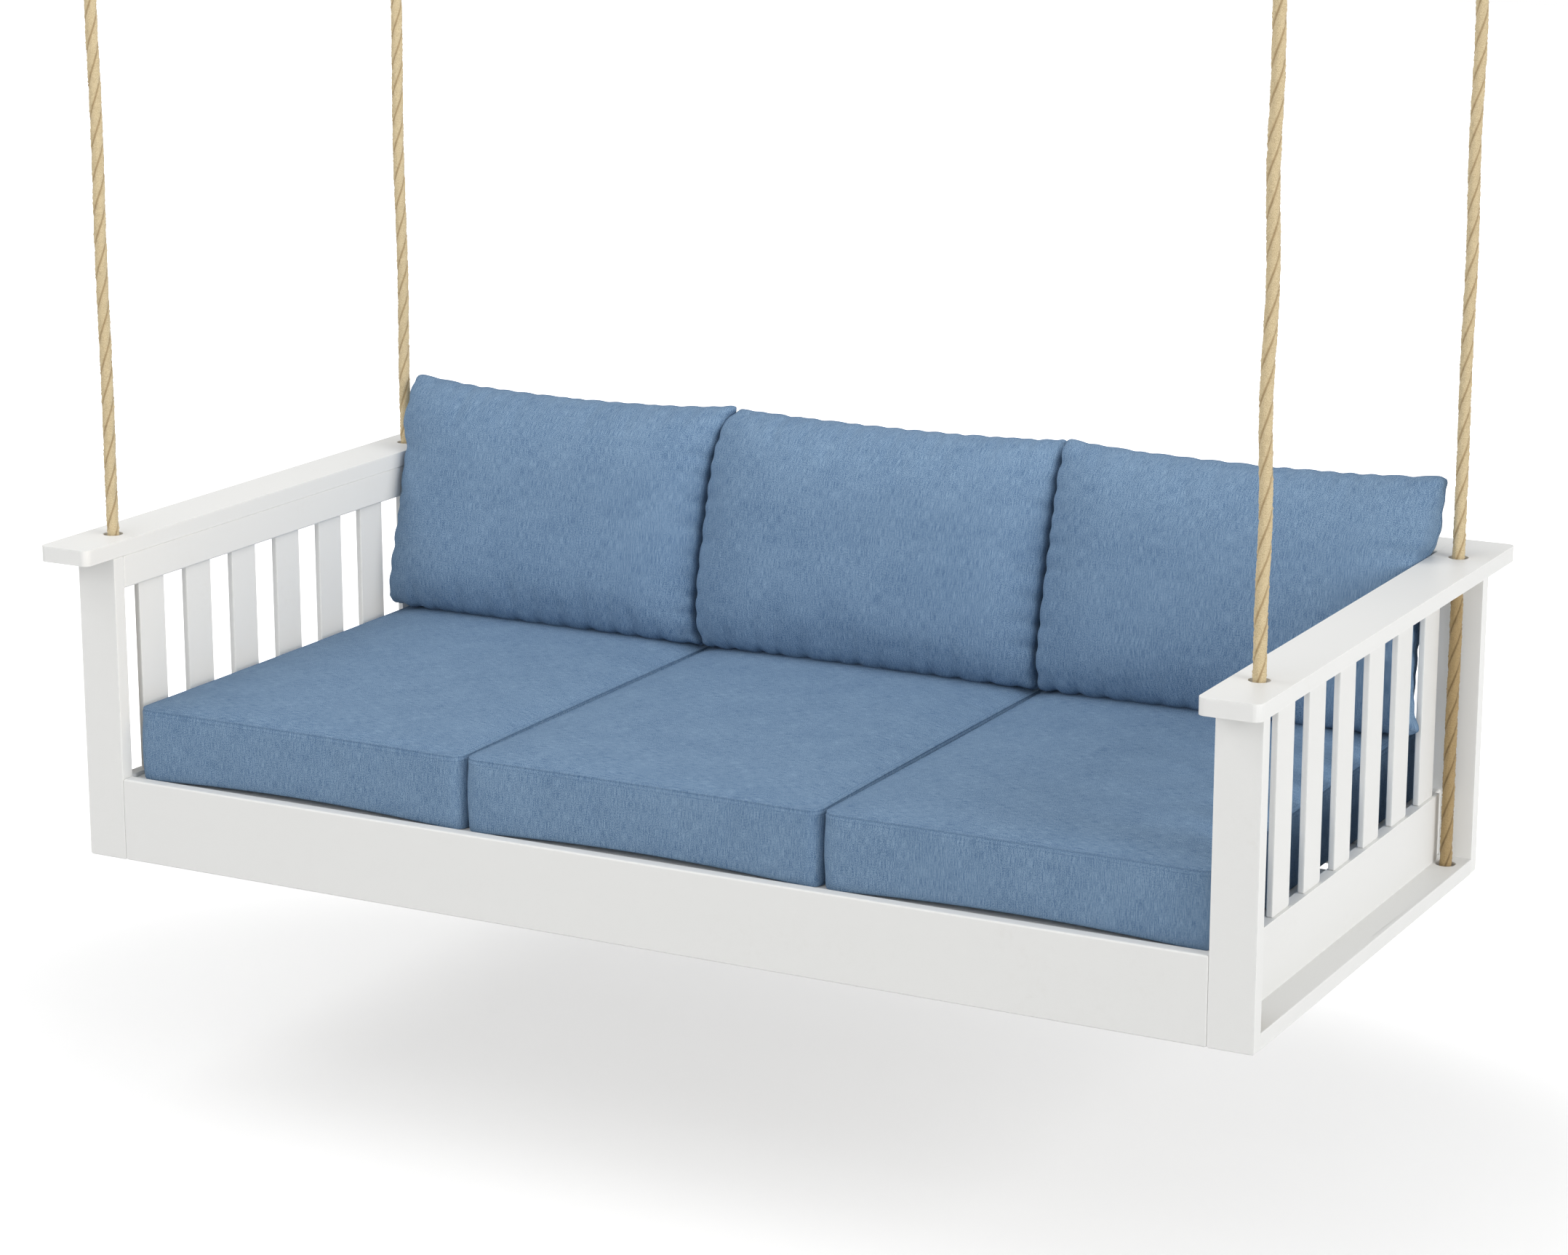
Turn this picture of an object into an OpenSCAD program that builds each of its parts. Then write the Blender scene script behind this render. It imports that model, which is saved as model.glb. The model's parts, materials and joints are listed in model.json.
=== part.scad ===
// Hanging daybed: a slatted board frame with arms, a cushioned deck and four ropes.
// The origin is the middle of the four ceiling studs, in the plane of the ceiling.
// +X is the sitter's left-hand side as seen from the front, +Y points to the back.

/* [Frame] */
// Width over the outer faces of the posts
frame_w = 1988; // [1700:1:2300]
// Depth over the front and back faces of the posts
frame_d = 956; // [900:1:1100]
// Height of the arm tops above the underside of the frame
arm_top = 517.5; // [460:0.5:600]
// Thickness of posts, arms and base boards
board_t = 25; // [19:0.5:32]
// Width of a post
post_w = 70; // [64:1:90]

/* [Rails] */
// Height of the lower rails above the underside of the frame
rail_h = 133.5; // [120:0.5:160]
// Thickness of the front rail and of the upper side rails
rail_t = 22; // [18:0.5:25]
// Thickness of the lower side rails
side_rail_t = 18; // [15:0.5:20]
// Thickness of the two back rails
back_rail_t = 25; // [18:0.5:28]
// Height of the upper rails under the arms
upper_rail_h = 53; // [40:1:80]
// Width of base board left showing outside a lower side rail
base_reveal = 48; // [44:0.5:50]
// Distance that the lower back rail stops short of the side rails' outer faces
back_rail_setin = 6; // [2:0.5:12]

/* [Slats] */
// Width of a slat
slat_w = 66; // [50:1:80]
// Thickness of a slat
slat_t = 9.5; // [8:0.5:11]
// Distance between neighbouring slats, centre to centre
slat_pitch = 124.8; // [90:0.1:125]
// Distance of a side slat in from the outer face of its rail
slat_inset = 5; // [3:0.5:6]

/* [Arms] */
// Overhang of an arm in front of the front posts
arm_front = 68.5; // [40:0.5:90]
// Overhang of the arms and the back board behind the back posts
arm_back = 63.5; // [40:0.5:90]
// Overhang of an arm outside the posts
arm_outer = 21; // [10:0.5:40]
// Overhang of an arm inside the posts
arm_inner = 1; // [0:0.5:4]
// Radius of an arm's corners, seen from above
arm_corner_r = 12; // [6:1:25]
// Distance of the back board's front edge in front of the back slats
back_board_lip = 3; // [1:0.5:10]

/* [Deck] */
// Height of the deck's top above the underside of the frame
deck_top = 127; // [118:0.5:132]
// Thickness of a deck board
deck_t = 15; // [12:0.5:19]
// Width of a full deck board
deck_board_w = 140; // [120:1:144]
// Gap between neighbouring deck boards
deck_gap = 10; // [6:1:12]
// Gap between the front rail and the first deck board
deck_edge_gap = 7; // [2:0.5:12]
// Open gap across the middle of the deck
deck_mid_gap = 72; // [40:1:90]
// Number of deck boards in front of the middle gap
deck_front_boards = 3; // [2:1:4]
// Thickness of a deck cleat
cleat_t = 14; // [12:0.5:20]
// Height of a deck cleat
cleat_h = 40; // [38:1:60]
// Thickness of a deck joist
joist_t = 25; // [18:0.5:30]
// Height of a deck joist
joist_h = 75; // [50:1:100]
// Distance of a joist from the middle of the deck
joist_x = 310; // [200:1:500]

/* [Seat cushions] */
// Gap between a side rail and the seat cushions
seat_side_gap = 13.6; // [2:0.1:40]
// Gap between neighbouring seat cushions at their seams
seat_split = 3.6; // [3.2:0.1:10]
// Gap between the front rail and the seat cushions
seat_front_gap = 6.6; // [1:0.1:10]
// Gap between the back rail and the seat cushions
seat_back_gap = 3.5; // [2:0.1:40]
// Height of a seat cushion at its seams
seat_h = 115.5; // [80:0.5:130]
// Rise of a seat cushion's top above its seam
seat_crown = 9; // [4:0.5:20]
// Distance that a seat cushion's sides draw in between its corners
seat_draw = 3; // [1:0.5:10]
// Distance that a seat cushion's sides swell out between its seams
seat_swell = 1.5; // [0:0.1:1.5]

/* [Back cushions] */
// Gap between an arm and the back cushions
back_side_gap = 1.1; // [0.5:0.1:40]
// Gap between neighbouring back cushions at their corners
back_split = 0.6; // [0.3:0.1:10]
// Height of a back cushion between its corners, along its lean
back_h = 402; // [340:1:440]
// Thickness of a back cushion at its middle
back_fill = 146; // [110:1:160]
// Lean of a back cushion from upright, in degrees
back_lean = 14.8; // [12:0.1:20]
// Distance of a back cushion's foot in front of the back board
back_run = 124.5; // [115:0.5:150]
// Distance that a back cushion's sides draw in between its corners
back_draw = 14; // [5:0.5:20]
// Distance that a back cushion's top draws in between its corners
back_top_draw = 9; // [0:0.5:20]

/* [Ropes] */
// Diameter of a rope
rope_d = 19; // [16:0.5:20]
// Diameter of a rope hole in an arm or a base board
rope_hole_d = 31; // [29:0.5:34]
// Distance of a rope in from the outer face of the posts
rope_in = 29; // [27:0.5:31]
// Distance of the front ropes behind the front faces of the front posts
rope_setback = 54; // [46:0.5:70]
// Distance of the back ropes in front of the back faces of the back posts
rope_back_setback = 64; // [46:1:70]
// Height of the ceiling above the underside of the frame
ceiling_h = 1635; // [1200:5:3000]
// Height of the bend in a rope below the top of its arm
bend_drop = 5.5; // [4:0.5:10]
// Length of the splice below a rope's eye
splice_l = 105; // [60:1:160]
// Diameter of a splice at its eye
splice_d = 25; // [22:0.5:26]

/* [Hangers] */
// Diameter of a hanger bolt
bolt_d = 12; // [10:0.5:16]
// Thickness of a hanger bolt's head and of its nut
bolt_head_t = 8; // [5:0.5:12]
// Depth of a hanger bolt's axis below the ceiling
bolt_drop = 50; // [46:1:90]
// Diameter of a hanger's ceiling flange
flange_d = 76; // [60:1:120]
// Thickness of a hanger's ceiling flange
flange_t = 8; // [5:0.5:10]
// Thickness of a hanger's cheeks
cheek_t = 6; // [4:0.5:10]
// Width of a hanger's cheeks
cheek_w = 36; // [30:1:50]
// Diameter of a ceiling stud
stud_d = 12; // [8:0.5:16]
// Length of a ceiling stud above the ceiling plane
stud_l = 40; // [20:1:80]
// Diameter of a thimble at the bottom of its groove
thimble_hub_d = 30; // [26:0.5:32]
// Width of a thimble's rim outside its groove, on each side
thimble_rim = 3.2; // [2:0.1:6]

/* [Stoppers and screws] */
// Diameter of a rope stopper's flange
stopper_d = 40; // [36:0.5:44]
// Thickness of a rope stopper's flange
stopper_flange_t = 4; // [2:0.5:5]
// Outer diameter of a rope stopper's sleeve
stopper_sleeve_d = 27; // [23:0.5:30]
// Depth of the pocket for a stopper in a base board
pocket_depth = 13; // [8:0.5:16]
// Diameter of a wood screw's shank
screw_d = 5; // [3:0.5:6]
// Diameter of a wood screw's head
screw_head_d = 9.5; // [7:0.5:11]
// Length of a wood screw
screw_l = 45; // [42:1:50]
// Number of screws through each base board
base_screws = 5; // [3:1:7]

/* [Hidden] */
// Number of slats on each side, which NODES names one by one
side_slats = 7;
// Seam left between two boards that butt together
seam = 0.3;
// Air left round a cushion
soft_gap = 0.3;
// Air left round a stopper in its pocket, and round a rope in its stopper
pocket_clear = 1.5;
grip_clear = 0.3;
// Air between a hanger bolt and what turns or sits on it
bolt_clear = 0.05;
// Air between a thimble and its rope, and between a thimble and its hanger's cheeks
groove_clear = 0.3;
cheek_clear = 0.3;
// Air between the two halves of a rope at its bend
bend_gap = 0.6;
// Radius of a rope's tip at its bend, and length of its taper there
bend_tip_r = 1;
bend_taper = 6;
// Height of a rope's lower end above the underside of the frame
rope_end_z = 1.5;
// Height of a screw head
screw_head_h = 3;
// Set-in of the first base screw from the ends of a lower side rail
base_screw_end = 60;
// Set-in of a stopper's sleeve from the underside of the frame
sleeve_setin = 1;
// Rope tubes: number of sides, and rings along an upper and a lower stretch
rope_sides = 10;
upper_rings = 12;
lower_rings = 6;
// Steps from the middle of a cushion to its edges, across it and along it
seat_steps = [6, 8];
back_steps = [8, 6];
// Distance that a cushion's corners draw in, measured along both sides
seat_corner = 8;
back_corner = 3;
// Height of the rounded edge at a seat cushion's seams, and its set-in
seam_edge = 5;
seam_setin = 2;
// Half the thickness of a back cushion's seam
back_seam = 2;
// Number of cushions side by side
cushion_count = 3;
// How far a cut runs on past the faces that it goes through
over = 1;
// Length of a hanger bolt past its nut
bolt_tail = 2;
$fn = 48;

// Places worked out from the sizes above, in the frame's own axes:
// x from its middle, y from its middle, z from its underside.
post_h = arm_top - board_t;
half_w = frame_w / 2;
half_d = frame_d / 2;
post_inner_x = half_w - post_w;
post_front_y = half_d - board_t;
side_rail_x = half_w - base_reveal;
side_rail_inner_x = side_rail_x - side_rail_t;
slat_x = side_rail_x - slat_inset;
upper_rail_z = post_h - upper_rail_h;
back_rail_y = post_front_y - back_rail_t;
arm_inner_x = post_inner_x - arm_inner;
arm_outer_x = half_w + arm_outer;
rope_x = half_w - rope_in;
rope_front_y = rope_setback - half_d;
rope_back_y = half_d - rope_back_setback;
back_slat_y = post_front_y - slat_t;
back_board_y = back_slat_y - back_board_lip;
slat_gap = slat_pitch - slat_w;
back_slat_count = floor((2 * post_inner_x - slat_gap) / slat_pitch);

deck_z = deck_top - deck_t;
deck_front_y = rail_t - half_d;
deck_back_y = back_rail_y - seam;
deck_pitch = deck_board_w + deck_gap;
first_board_y = deck_front_y + deck_edge_gap;
back_boards_y = first_board_y + deck_front_boards * deck_pitch - deck_gap + deck_mid_gap;
deck_back_boards = floor((deck_back_y - back_boards_y) / deck_pitch);
last_board_y = back_boards_y + deck_back_boards * deck_pitch;
// Front edge and width of each deck board; the last one is cut to fit
deck_rows = concat(
    [for (i = [0:deck_front_boards - 1]) [first_board_y + i * deck_pitch, deck_board_w]],
    [for (i = [0:deck_back_boards - 1]) [back_boards_y + i * deck_pitch, deck_board_w]],
    [[last_board_y, deck_back_y - last_board_y]]
);
cleat_x = side_rail_inner_x - cleat_t / 2;
deck_screw_xs = [-cleat_x, -joist_x, joist_x, cleat_x];
base_screw_x = side_rail_x - side_rail_t / 2;
base_screw_y = base_screw_end - post_front_y;
base_screw_step = (back_rail_y + post_front_y - 2 * base_screw_end) / (base_screws - 1);

seat_w = (2 * (side_rail_inner_x - seat_side_gap) - (cushion_count - 1) * seat_split) / cushion_count;
seat_depth = back_rail_y - seat_back_gap - deck_front_y - seat_front_gap;
seat_y = deck_front_y + seat_front_gap + seat_depth / 2;
seat_z = deck_top + soft_gap;
back_w = (2 * (arm_inner_x - back_side_gap) - (cushion_count - 1) * back_split) / cushion_count;
back_foot_y = back_board_y - back_run;
back_foot_v = 2 * (back_foot_y - seat_y) / seat_depth;
back_foot_z = seat_z + seat_h + seat_crown * seat_rise(0, back_foot_v) + soft_gap;
// Where the back board's top edge meets a back cushion: how far the edge stands behind
// the cushion's seams, and how far up the cushion it is
board_reach = (back_run - (arm_top - back_foot_z) * tan(back_lean)) * cos(back_lean);
board_v = 2 * (arm_top - back_foot_z) / cos(back_lean) / back_h - 1;
rear_fill = (board_reach - soft_gap) / back_rise(0, board_v);

rope_r = rope_d / 2;
bend_z = arm_top - bend_drop;
bolt_z = ceiling_h - bolt_drop;
eye_r = thimble_hub_d / 2 + groove_clear + rope_r;
splice_z = bolt_z - eye_r - groove_clear - splice_l;
thimble_w = rope_d + 2 * groove_clear + 2 * thimble_rim;
cheek_x = thimble_w / 2 + cheek_clear;
bolt_l = 2 * (cheek_x + cheek_t);
hex_d = 1.75 * bolt_d;

// Moves what is drawn in the frame's axes to where the frame hangs below the origin.
module hang() {
    translate([0, -(rope_front_y + rope_back_y) / 2, -ceiling_h]) children();
}

// A board between two opposite corners.
module board(from, to) {
    translate(from) cube(to - from);
}

// One piece for the left side (side = -1) or the right side (side = 1) of the frame.
module on_side(side) {
    if (side > 0) children();
    else mirror([1, 0, 0]) children();
}

// A flat rectangle with round corners, centred.
module round_rect(w, d, r) {
    square([w - 2 * r, d], center = true);
    square([w, d - 2 * r], center = true);
    for (x = [-1, 1], y = [-1, 1]) translate([x * (w / 2 - r), y * (d / 2 - r)]) circle(r);
}

// A wood screw with its head up, its top face at the origin.
module screw() {
    translate([0, 0, -screw_head_h]) cylinder(h = screw_head_h, d1 = screw_d, d2 = screw_head_d);
    translate([0, 0, -screw_l]) cylinder(h = screw_l - screw_head_h, d = screw_d);
}

module deck_screws() {
    for (deck_row = deck_rows, x = deck_screw_xs)
        translate([x, deck_row[0] + deck_row[1] / 2, deck_top]) screw();
}

module base_screws_on(side) {
    for (i = [0:base_screws - 1])
        translate([side * base_screw_x, base_screw_y + i * base_screw_step, 0]) mirror([0, 0, 1]) screw();
}

// Posts and rails

module post(side, back) {
    y = back ? half_d - board_t : -half_d;
    color("whitesmoke") hang() on_side(side)
        board([post_inner_x, y, 0], [half_w, y + board_t, post_h]);
}

module front_rail() {
    x = post_inner_x - seam;
    color("whitesmoke") hang() board([-x, -half_d, 0], [x, rail_t - half_d, rail_h]);
}

module back_rail_lower() {
    x = side_rail_x - back_rail_setin;
    color("whitesmoke") hang() board([-x, back_rail_y, board_t], [x, post_front_y, rail_h]);
}

module back_rail_upper() {
    x = post_inner_x - seam;
    color("whitesmoke") hang() board([-x, post_front_y, upper_rail_z], [x, half_d, post_h]);
}

module base_board(side) {
    y = post_front_y - seam;
    color("whitesmoke") hang() difference() {
        on_side(side) difference() {
            board([post_inner_x, -y, 0], [half_w, y, board_t]);
            for (rope_y = [rope_front_y, rope_back_y]) translate([rope_x, rope_y, -over]) {
                cylinder(h = board_t + 2 * over, d = rope_hole_d);
                cylinder(h = pocket_depth + over, d = stopper_d + 2 * pocket_clear);
            }
        }
        base_screws_on(side);
    }
}

module side_rail_lower(side) {
    from = [side_rail_inner_x, seam - post_front_y, board_t];
    color("whitesmoke") hang() difference() {
        on_side(side) board(from, [side_rail_x, back_rail_y - seam, rail_h]);
        base_screws_on(side);
    }
}

module side_rail_upper(side) {
    y = post_front_y - seam;
    color("whitesmoke") hang() on_side(side)
        board([post_inner_x, -y, upper_rail_z], [post_inner_x + rail_t, y, post_h]);
}

// Slats

module side_slat(side, i) {
    y = (i - (side_slats + 1) / 2) * slat_pitch - slat_w / 2;
    color("whitesmoke") hang() on_side(side)
        board([slat_x - slat_t, y, rail_h], [slat_x, y + slat_w, upper_rail_z]);
}

module back_slats() {
    color("whitesmoke") hang() for (i = [0:back_slat_count - 1]) {
        x = (i - (back_slat_count - 1) / 2) * slat_pitch - slat_w / 2;
        board([x, back_slat_y, rail_h], [x + slat_w, post_front_y, post_h]);
    }
}

// Arms and back board

module arm(side) {
    w = arm_outer_x - arm_inner_x;
    front_y = -half_d - arm_front;
    back_y = half_d + arm_back;
    color("whitesmoke") hang() on_side(side) difference() {
        translate([arm_inner_x + w / 2, (front_y + back_y) / 2, post_h])
            linear_extrude(board_t) round_rect(w, back_y - front_y, arm_corner_r);
        for (rope_y = [rope_front_y, rope_back_y])
            translate([rope_x, rope_y, post_h - over]) cylinder(h = board_t + 2 * over, d = rope_hole_d);
    }
}

module back_top_board() {
    x = arm_inner_x - seam;
    color("whitesmoke") hang()
        board([-x, back_board_y, post_h], [x, half_d + arm_back, arm_top]);
}

// Deck

module deck_boards() {
    x = side_rail_inner_x - seam;
    color("whitesmoke") hang() difference() {
        for (deck_row = deck_rows)
            board([-x, deck_row[0], deck_z], [x, deck_row[0] + deck_row[1], deck_top]);
        deck_screws();
    }
}

module deck_cleat(side) {
    color("whitesmoke") hang() difference() {
        on_side(side) board(
            [side_rail_inner_x - cleat_t, seam - post_front_y, deck_z - cleat_h],
            [side_rail_inner_x, back_rail_y - seam, deck_z]
        );
        deck_screws();
    }
}

module deck_joist(side) {
    x = side * joist_x - joist_t / 2;
    color("whitesmoke") hang() difference() {
        board([x, deck_front_y + seam, deck_z - joist_h], [x + joist_t, deck_back_y, deck_z]);
        deck_screws();
    }
}

// Cushions: closed surfaces over a square that runs from -1 to 1 across (u) and along (v)

// Share of the crown left at u, v on a boxed cushion, and of the fill on a knife-edged one
function seat_rise(u, v) = pow((1 - pow(u, 4)) * (1 - pow(v, 4)), 0.8);
function back_rise(u, v) = pow((1 - u * u) * (1 - v * v), 0.5);

// How far u lies from the middle of a cushion of width w, whose sides draw in between its
// corners; v is the place along the side.
function drawn_in(u, v, w, draw, corner) = u * (w / 2 - draw * (1 - v * v) - corner * pow(u * v, 6));

// Steps from one edge of a cushion to the other, finer towards the edges
function step(i, n) = sin(90 * i / n);
function rim_steps(n) = concat(
    [for (i = [-n[0]:n[0] - 1]) [i, -n[1]]],
    [for (j = [-n[1]:n[1] - 1]) [n[0], j]],
    [for (i = [n[0]:-1:1 - n[0]]) [i, n[1]]],
    [for (j = [n[1]:-1:1 - n[1]]) [-n[0], j]]
);

// A closed surface of layers. place(u, v, layer) gives a point; the first and the last layer
// are whole faces of 2n[0] x 2n[1] steps, and the layers between them are rings round the rim.
module layered(n, layers, place) {
    cols = 2 * n[0] + 1;
    size = cols * (2 * n[1] + 1);
    rim = rim_steps(n);
    count = len(rim);
    last = layers - 1;
    top = size + (layers - 2) * count;
    function rim_index(layer, k) = let (p = rim[k % count], i = (p[1] + n[1]) * cols + p[0] + n[0])
        layer == 0 ? i : layer == last ? top + i : size + (layer - 1) * count + k % count;
    function face_points(layer) =
        [for (j = [-n[1]:n[1]], i = [-n[0]:n[0]]) place(step(i, n[0]), step(j, n[1]), layer)];
    function cell(a, b, c, d, turn) = turn ? [[a, b, c], [a, c, d]] : [[a, b, d], [b, c, d]];
    points = concat(
        face_points(0),
        [for (layer = [1:1:last - 1], p = rim) place(step(p[0], n[0]), step(p[1], n[1]), layer)],
        face_points(last)
    );
    faces = concat(
        [for (j = [0:2 * n[1] - 1], i = [0:2 * n[0] - 1])
            let (a = j * cols + i, turn = (i < n[0]) == (j < n[1])) each concat(
                cell(a, a + 1, a + cols + 1, a + cols, turn),
                cell(top + a + cols, top + a + cols + 1, top + a + 1, top + a, turn)
            )],
        [for (layer = [0:last - 1], k = [0:count - 1])
            each cell(rim_index(layer, k), rim_index(layer + 1, k), rim_index(layer + 1, k + 1),
                rim_index(layer, k + 1), true)]
    );
    polyhedron(points, faces, convexity = 4);
}

module seat_cushion(place) {
    // Height of each layer and how far its rim stands out from the seams
    layers = [
        [0, -seam_setin],
        [seam_edge, 0],
        [seat_h / 2, seat_swell],
        [seat_h - seam_edge, 0],
        [seat_h, -seam_setin]
    ];
    last = len(layers) - 1;
    point = function (u, v, layer) let (out = 2 * layers[layer][1]) [
        drawn_in(u, v, seat_w + out, seat_draw, seat_corner),
        drawn_in(v, u, seat_depth + out, seat_draw, seat_corner),
        layers[layer][0] + (layer == last ? seat_crown * seat_rise(u, v) : 0)
    ];
    color("steelblue") hang() translate([place * (seat_w + seat_split), seat_y, seat_z])
        layered(seat_steps, len(layers), point);
}

module back_cushion(place) {
    fills = [-rear_fill, back_fill - rear_fill];
    point = function (u, v, layer) [
        drawn_in(u, v, back_w, back_draw, back_corner),
        drawn_in(v, u, back_h, v > 0 ? back_top_draw : 0, back_corner),
        (fills[layer] - sign(fills[layer]) * back_seam) * back_rise(u, v) + sign(fills[layer]) * back_seam
    ];
    color("steelblue") hang() translate([place * (back_w + back_split), back_foot_y, back_foot_z])
        rotate([90 - back_lean, 0, 0]) translate([0, back_h / 2, 0]) layered(back_steps, 2, point);
}

// Ropes: each a tube with a tapered tip at its bend

// A ring of the rope's tube at height z with radius r.
function rope_ring(z, r) = [
    for (i = [0:rope_sides - 1]) let (turn = i * 360 / rope_sides) [r * cos(turn), r * sin(turn), z]
];

// A rope from height z0 to z1; its tapered tip is at tip_z, which is one of the two.
module rope_tube(z0, z1, rings, tip_z) {
    low = tip_z == z0 ? z0 + bend_taper : z0;
    high = tip_z == z1 ? z1 - bend_taper : z1;
    body = [for (k = [0:rings - 1]) [low + (high - low) * k / (rings - 1), rope_r]];
    stops = tip_z == z0 ? concat([[z0, bend_tip_r]], body) : concat(body, [[z1, bend_tip_r]]);
    n = rope_sides;
    m = len(stops);
    points = [for (s = stops) each rope_ring(s[0], s[1])];
    faces = concat(
        [[for (i = [0:n - 1]) i]],
        [for (j = [0:m - 2], i = [0:n - 1]) [j * n + i, (j + 1) * n + (i + 1) % n, j * n + (i + 1) % n]],
        [for (j = [0:m - 2], i = [0:n - 1]) [j * n + i, (j + 1) * n + i, (j + 1) * n + (i + 1) % n]],
        [[for (i = [n - 1:-1:0]) (m - 1) * n + i]]
    );
    polyhedron(points, faces, convexity = 2);
}

module at_rope(side, back) {
    hang() translate([side * rope_x, back ? rope_back_y : rope_front_y, 0]) children();
}

module rope_upper(side, back) {
    color("burlywood") at_rope(side, back) rope_tube(bend_z, splice_z, upper_rings, bend_z);
}

module rope_lower(side, back) {
    top_z = bend_z - bend_gap;
    color("burlywood") at_rope(side, back) rope_tube(rope_end_z, top_z, lower_rings, top_z);
}

// An eye round a thimble, with the splice that closes it.
module rope_eyes(back) {
    color("burlywood") for (side = [-1, 1]) at_rope(side, back) {
        translate([0, 0, bolt_z]) rotate([0, 90, 0]) rotate_extrude() translate([eye_r, 0]) circle(rope_r);
        translate([0, 0, splice_z]) cylinder(h = splice_l, d1 = rope_d, d2 = splice_d);
    }
}

// Hangers

module thimbles(back) {
    bore_r = bolt_d / 2 + bolt_clear;
    color("silver") for (side = [-1, 1]) at_rope(side, back) translate([0, 0, bolt_z]) rotate([0, 90, 0])
        rotate_extrude() difference() {
            translate([bore_r, -thimble_w / 2]) square([eye_r - bore_r, thimble_w]);
            translate([eye_r, 0]) circle(rope_r + groove_clear);
        }
}

// A round bar along X with its middle at a hanger's bolt.
module bolt_bar(l, d, sides = $fn) {
    translate([0, 0, bolt_z]) rotate([0, 90, 0]) cylinder(h = l, d = d, center = true, $fn = sides);
}

module ceiling_hangers(back) {
    color("dimgray") for (side = [-1, 1]) at_rope(side, back) {
        translate([0, 0, ceiling_h - flange_t]) cylinder(h = flange_t, d = flange_d);
        translate([0, 0, ceiling_h - flange_t]) cylinder(h = flange_t + stud_l, d = stud_d);
        for (cheek = [-1, 1]) translate([cheek * (cheek_x + cheek_t / 2), 0, 0]) difference() {
            union() {
                translate([-cheek_t / 2, -cheek_w / 2, bolt_z])
                    cube([cheek_t, cheek_w, bolt_drop - flange_t]);
                bolt_bar(cheek_t, cheek_w);
            }
            bolt_bar(cheek_t + 2 * over, bolt_d + 2 * bolt_clear);
        }
    }
}

module hanger_bolts() {
    nut_side_l = bolt_head_t + bolt_tail;
    color("silver") for (side = [-1, 1], back = [false, true]) at_rope(side, back) on_side(side) {
        translate([nut_side_l / 2, 0, 0]) bolt_bar(bolt_l + nut_side_l, bolt_d);
        translate([-(bolt_l + bolt_head_t) / 2, 0, 0]) bolt_bar(bolt_head_t, hex_d, 6);
    }
}

module hanger_nuts() {
    color("silver") for (side = [-1, 1], back = [false, true]) at_rope(side, back) on_side(side)
        translate([(bolt_l + bolt_head_t) / 2, 0, 0]) difference() {
            bolt_bar(bolt_head_t, hex_d, 6);
            bolt_bar(bolt_head_t + 2 * over, bolt_d + 2 * bolt_clear);
        }
}

module rope_stoppers() {
    flange_z = pocket_depth - stopper_flange_t;
    color("silver") for (side = [-1, 1], back = [false, true]) at_rope(side, back) difference() {
        union() {
            translate([0, 0, flange_z]) cylinder(h = stopper_flange_t, d = stopper_d);
            translate([0, 0, sleeve_setin]) cylinder(h = pocket_depth - sleeve_setin, d = stopper_sleeve_d);
        }
        cylinder(h = pocket_depth + over, d = rope_d + 2 * grip_clear);
    }
}

module wood_screws() {
    color("silver") hang() {
        deck_screws();
        for (side = [-1, 1]) base_screws_on(side);
    }
}

left = -1;
right = 1;
front_rail();
post(left, false);  // post_front_left
post(right, false);  // post_front_right
post(left, true);  // post_back_left
post(right, true);  // post_back_right
base_board(left);  // base_board_left
base_board(right);  // base_board_right
side_rail_lower(left);  // side_rail_lower_left
side_rail_lower(right);  // side_rail_lower_right
side_rail_upper(left);  // side_rail_upper_left
side_rail_upper(right);  // side_rail_upper_right
back_rail_lower();
back_rail_upper();
arm(left);  // arm_left
arm(right);  // arm_right
back_top_board();
back_slats();
for (i = [1:side_slats]) {
    side_slat(left, i);
    side_slat(right, i);
}
deck_boards();
deck_cleat(left);  // deck_cleat_left
deck_cleat(right);  // deck_cleat_right
deck_joist(left);  // deck_joist_left
deck_joist(right);  // deck_joist_right
seat_cushion(-1);  // seat_cushion_left
seat_cushion(0);  // seat_cushion_middle
seat_cushion(1);  // seat_cushion_right
back_cushion(-1);  // back_cushion_left
back_cushion(0);  // back_cushion_middle
back_cushion(1);  // back_cushion_right
rope_upper(left, false);  // rope_upper_front_left
rope_upper(right, false);  // rope_upper_front_right
rope_upper(left, true);  // rope_upper_back_left
rope_upper(right, true);  // rope_upper_back_right
rope_lower(left, false);  // rope_lower_front_left
rope_lower(right, false);  // rope_lower_front_right
rope_lower(left, true);  // rope_lower_back_left
rope_lower(right, true);  // rope_lower_back_right
rope_eyes(false);  // rope_eyes_front
rope_eyes(true);  // rope_eyes_back
thimbles(false);  // thimbles_front
thimbles(true);  // thimbles_back
ceiling_hangers(false);  // ceiling_hangers_front
ceiling_hangers(true);  // ceiling_hangers_back
hanger_bolts();
hanger_nuts();
rope_stoppers();
wood_screws();
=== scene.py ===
"""Porch swing seat: the boards, ropes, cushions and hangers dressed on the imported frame.

Sizes are in millimetres in the seat's own frame, whose zero is the middle of the frame's
footprint at the foot of the base boards; place() turns them into the row frame in metres.
"""
import json
import logging
import math
import random
from collections.abc import Callable, Sequence
from dataclasses import dataclass, field
from enum import Enum
from typing import Any

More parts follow.
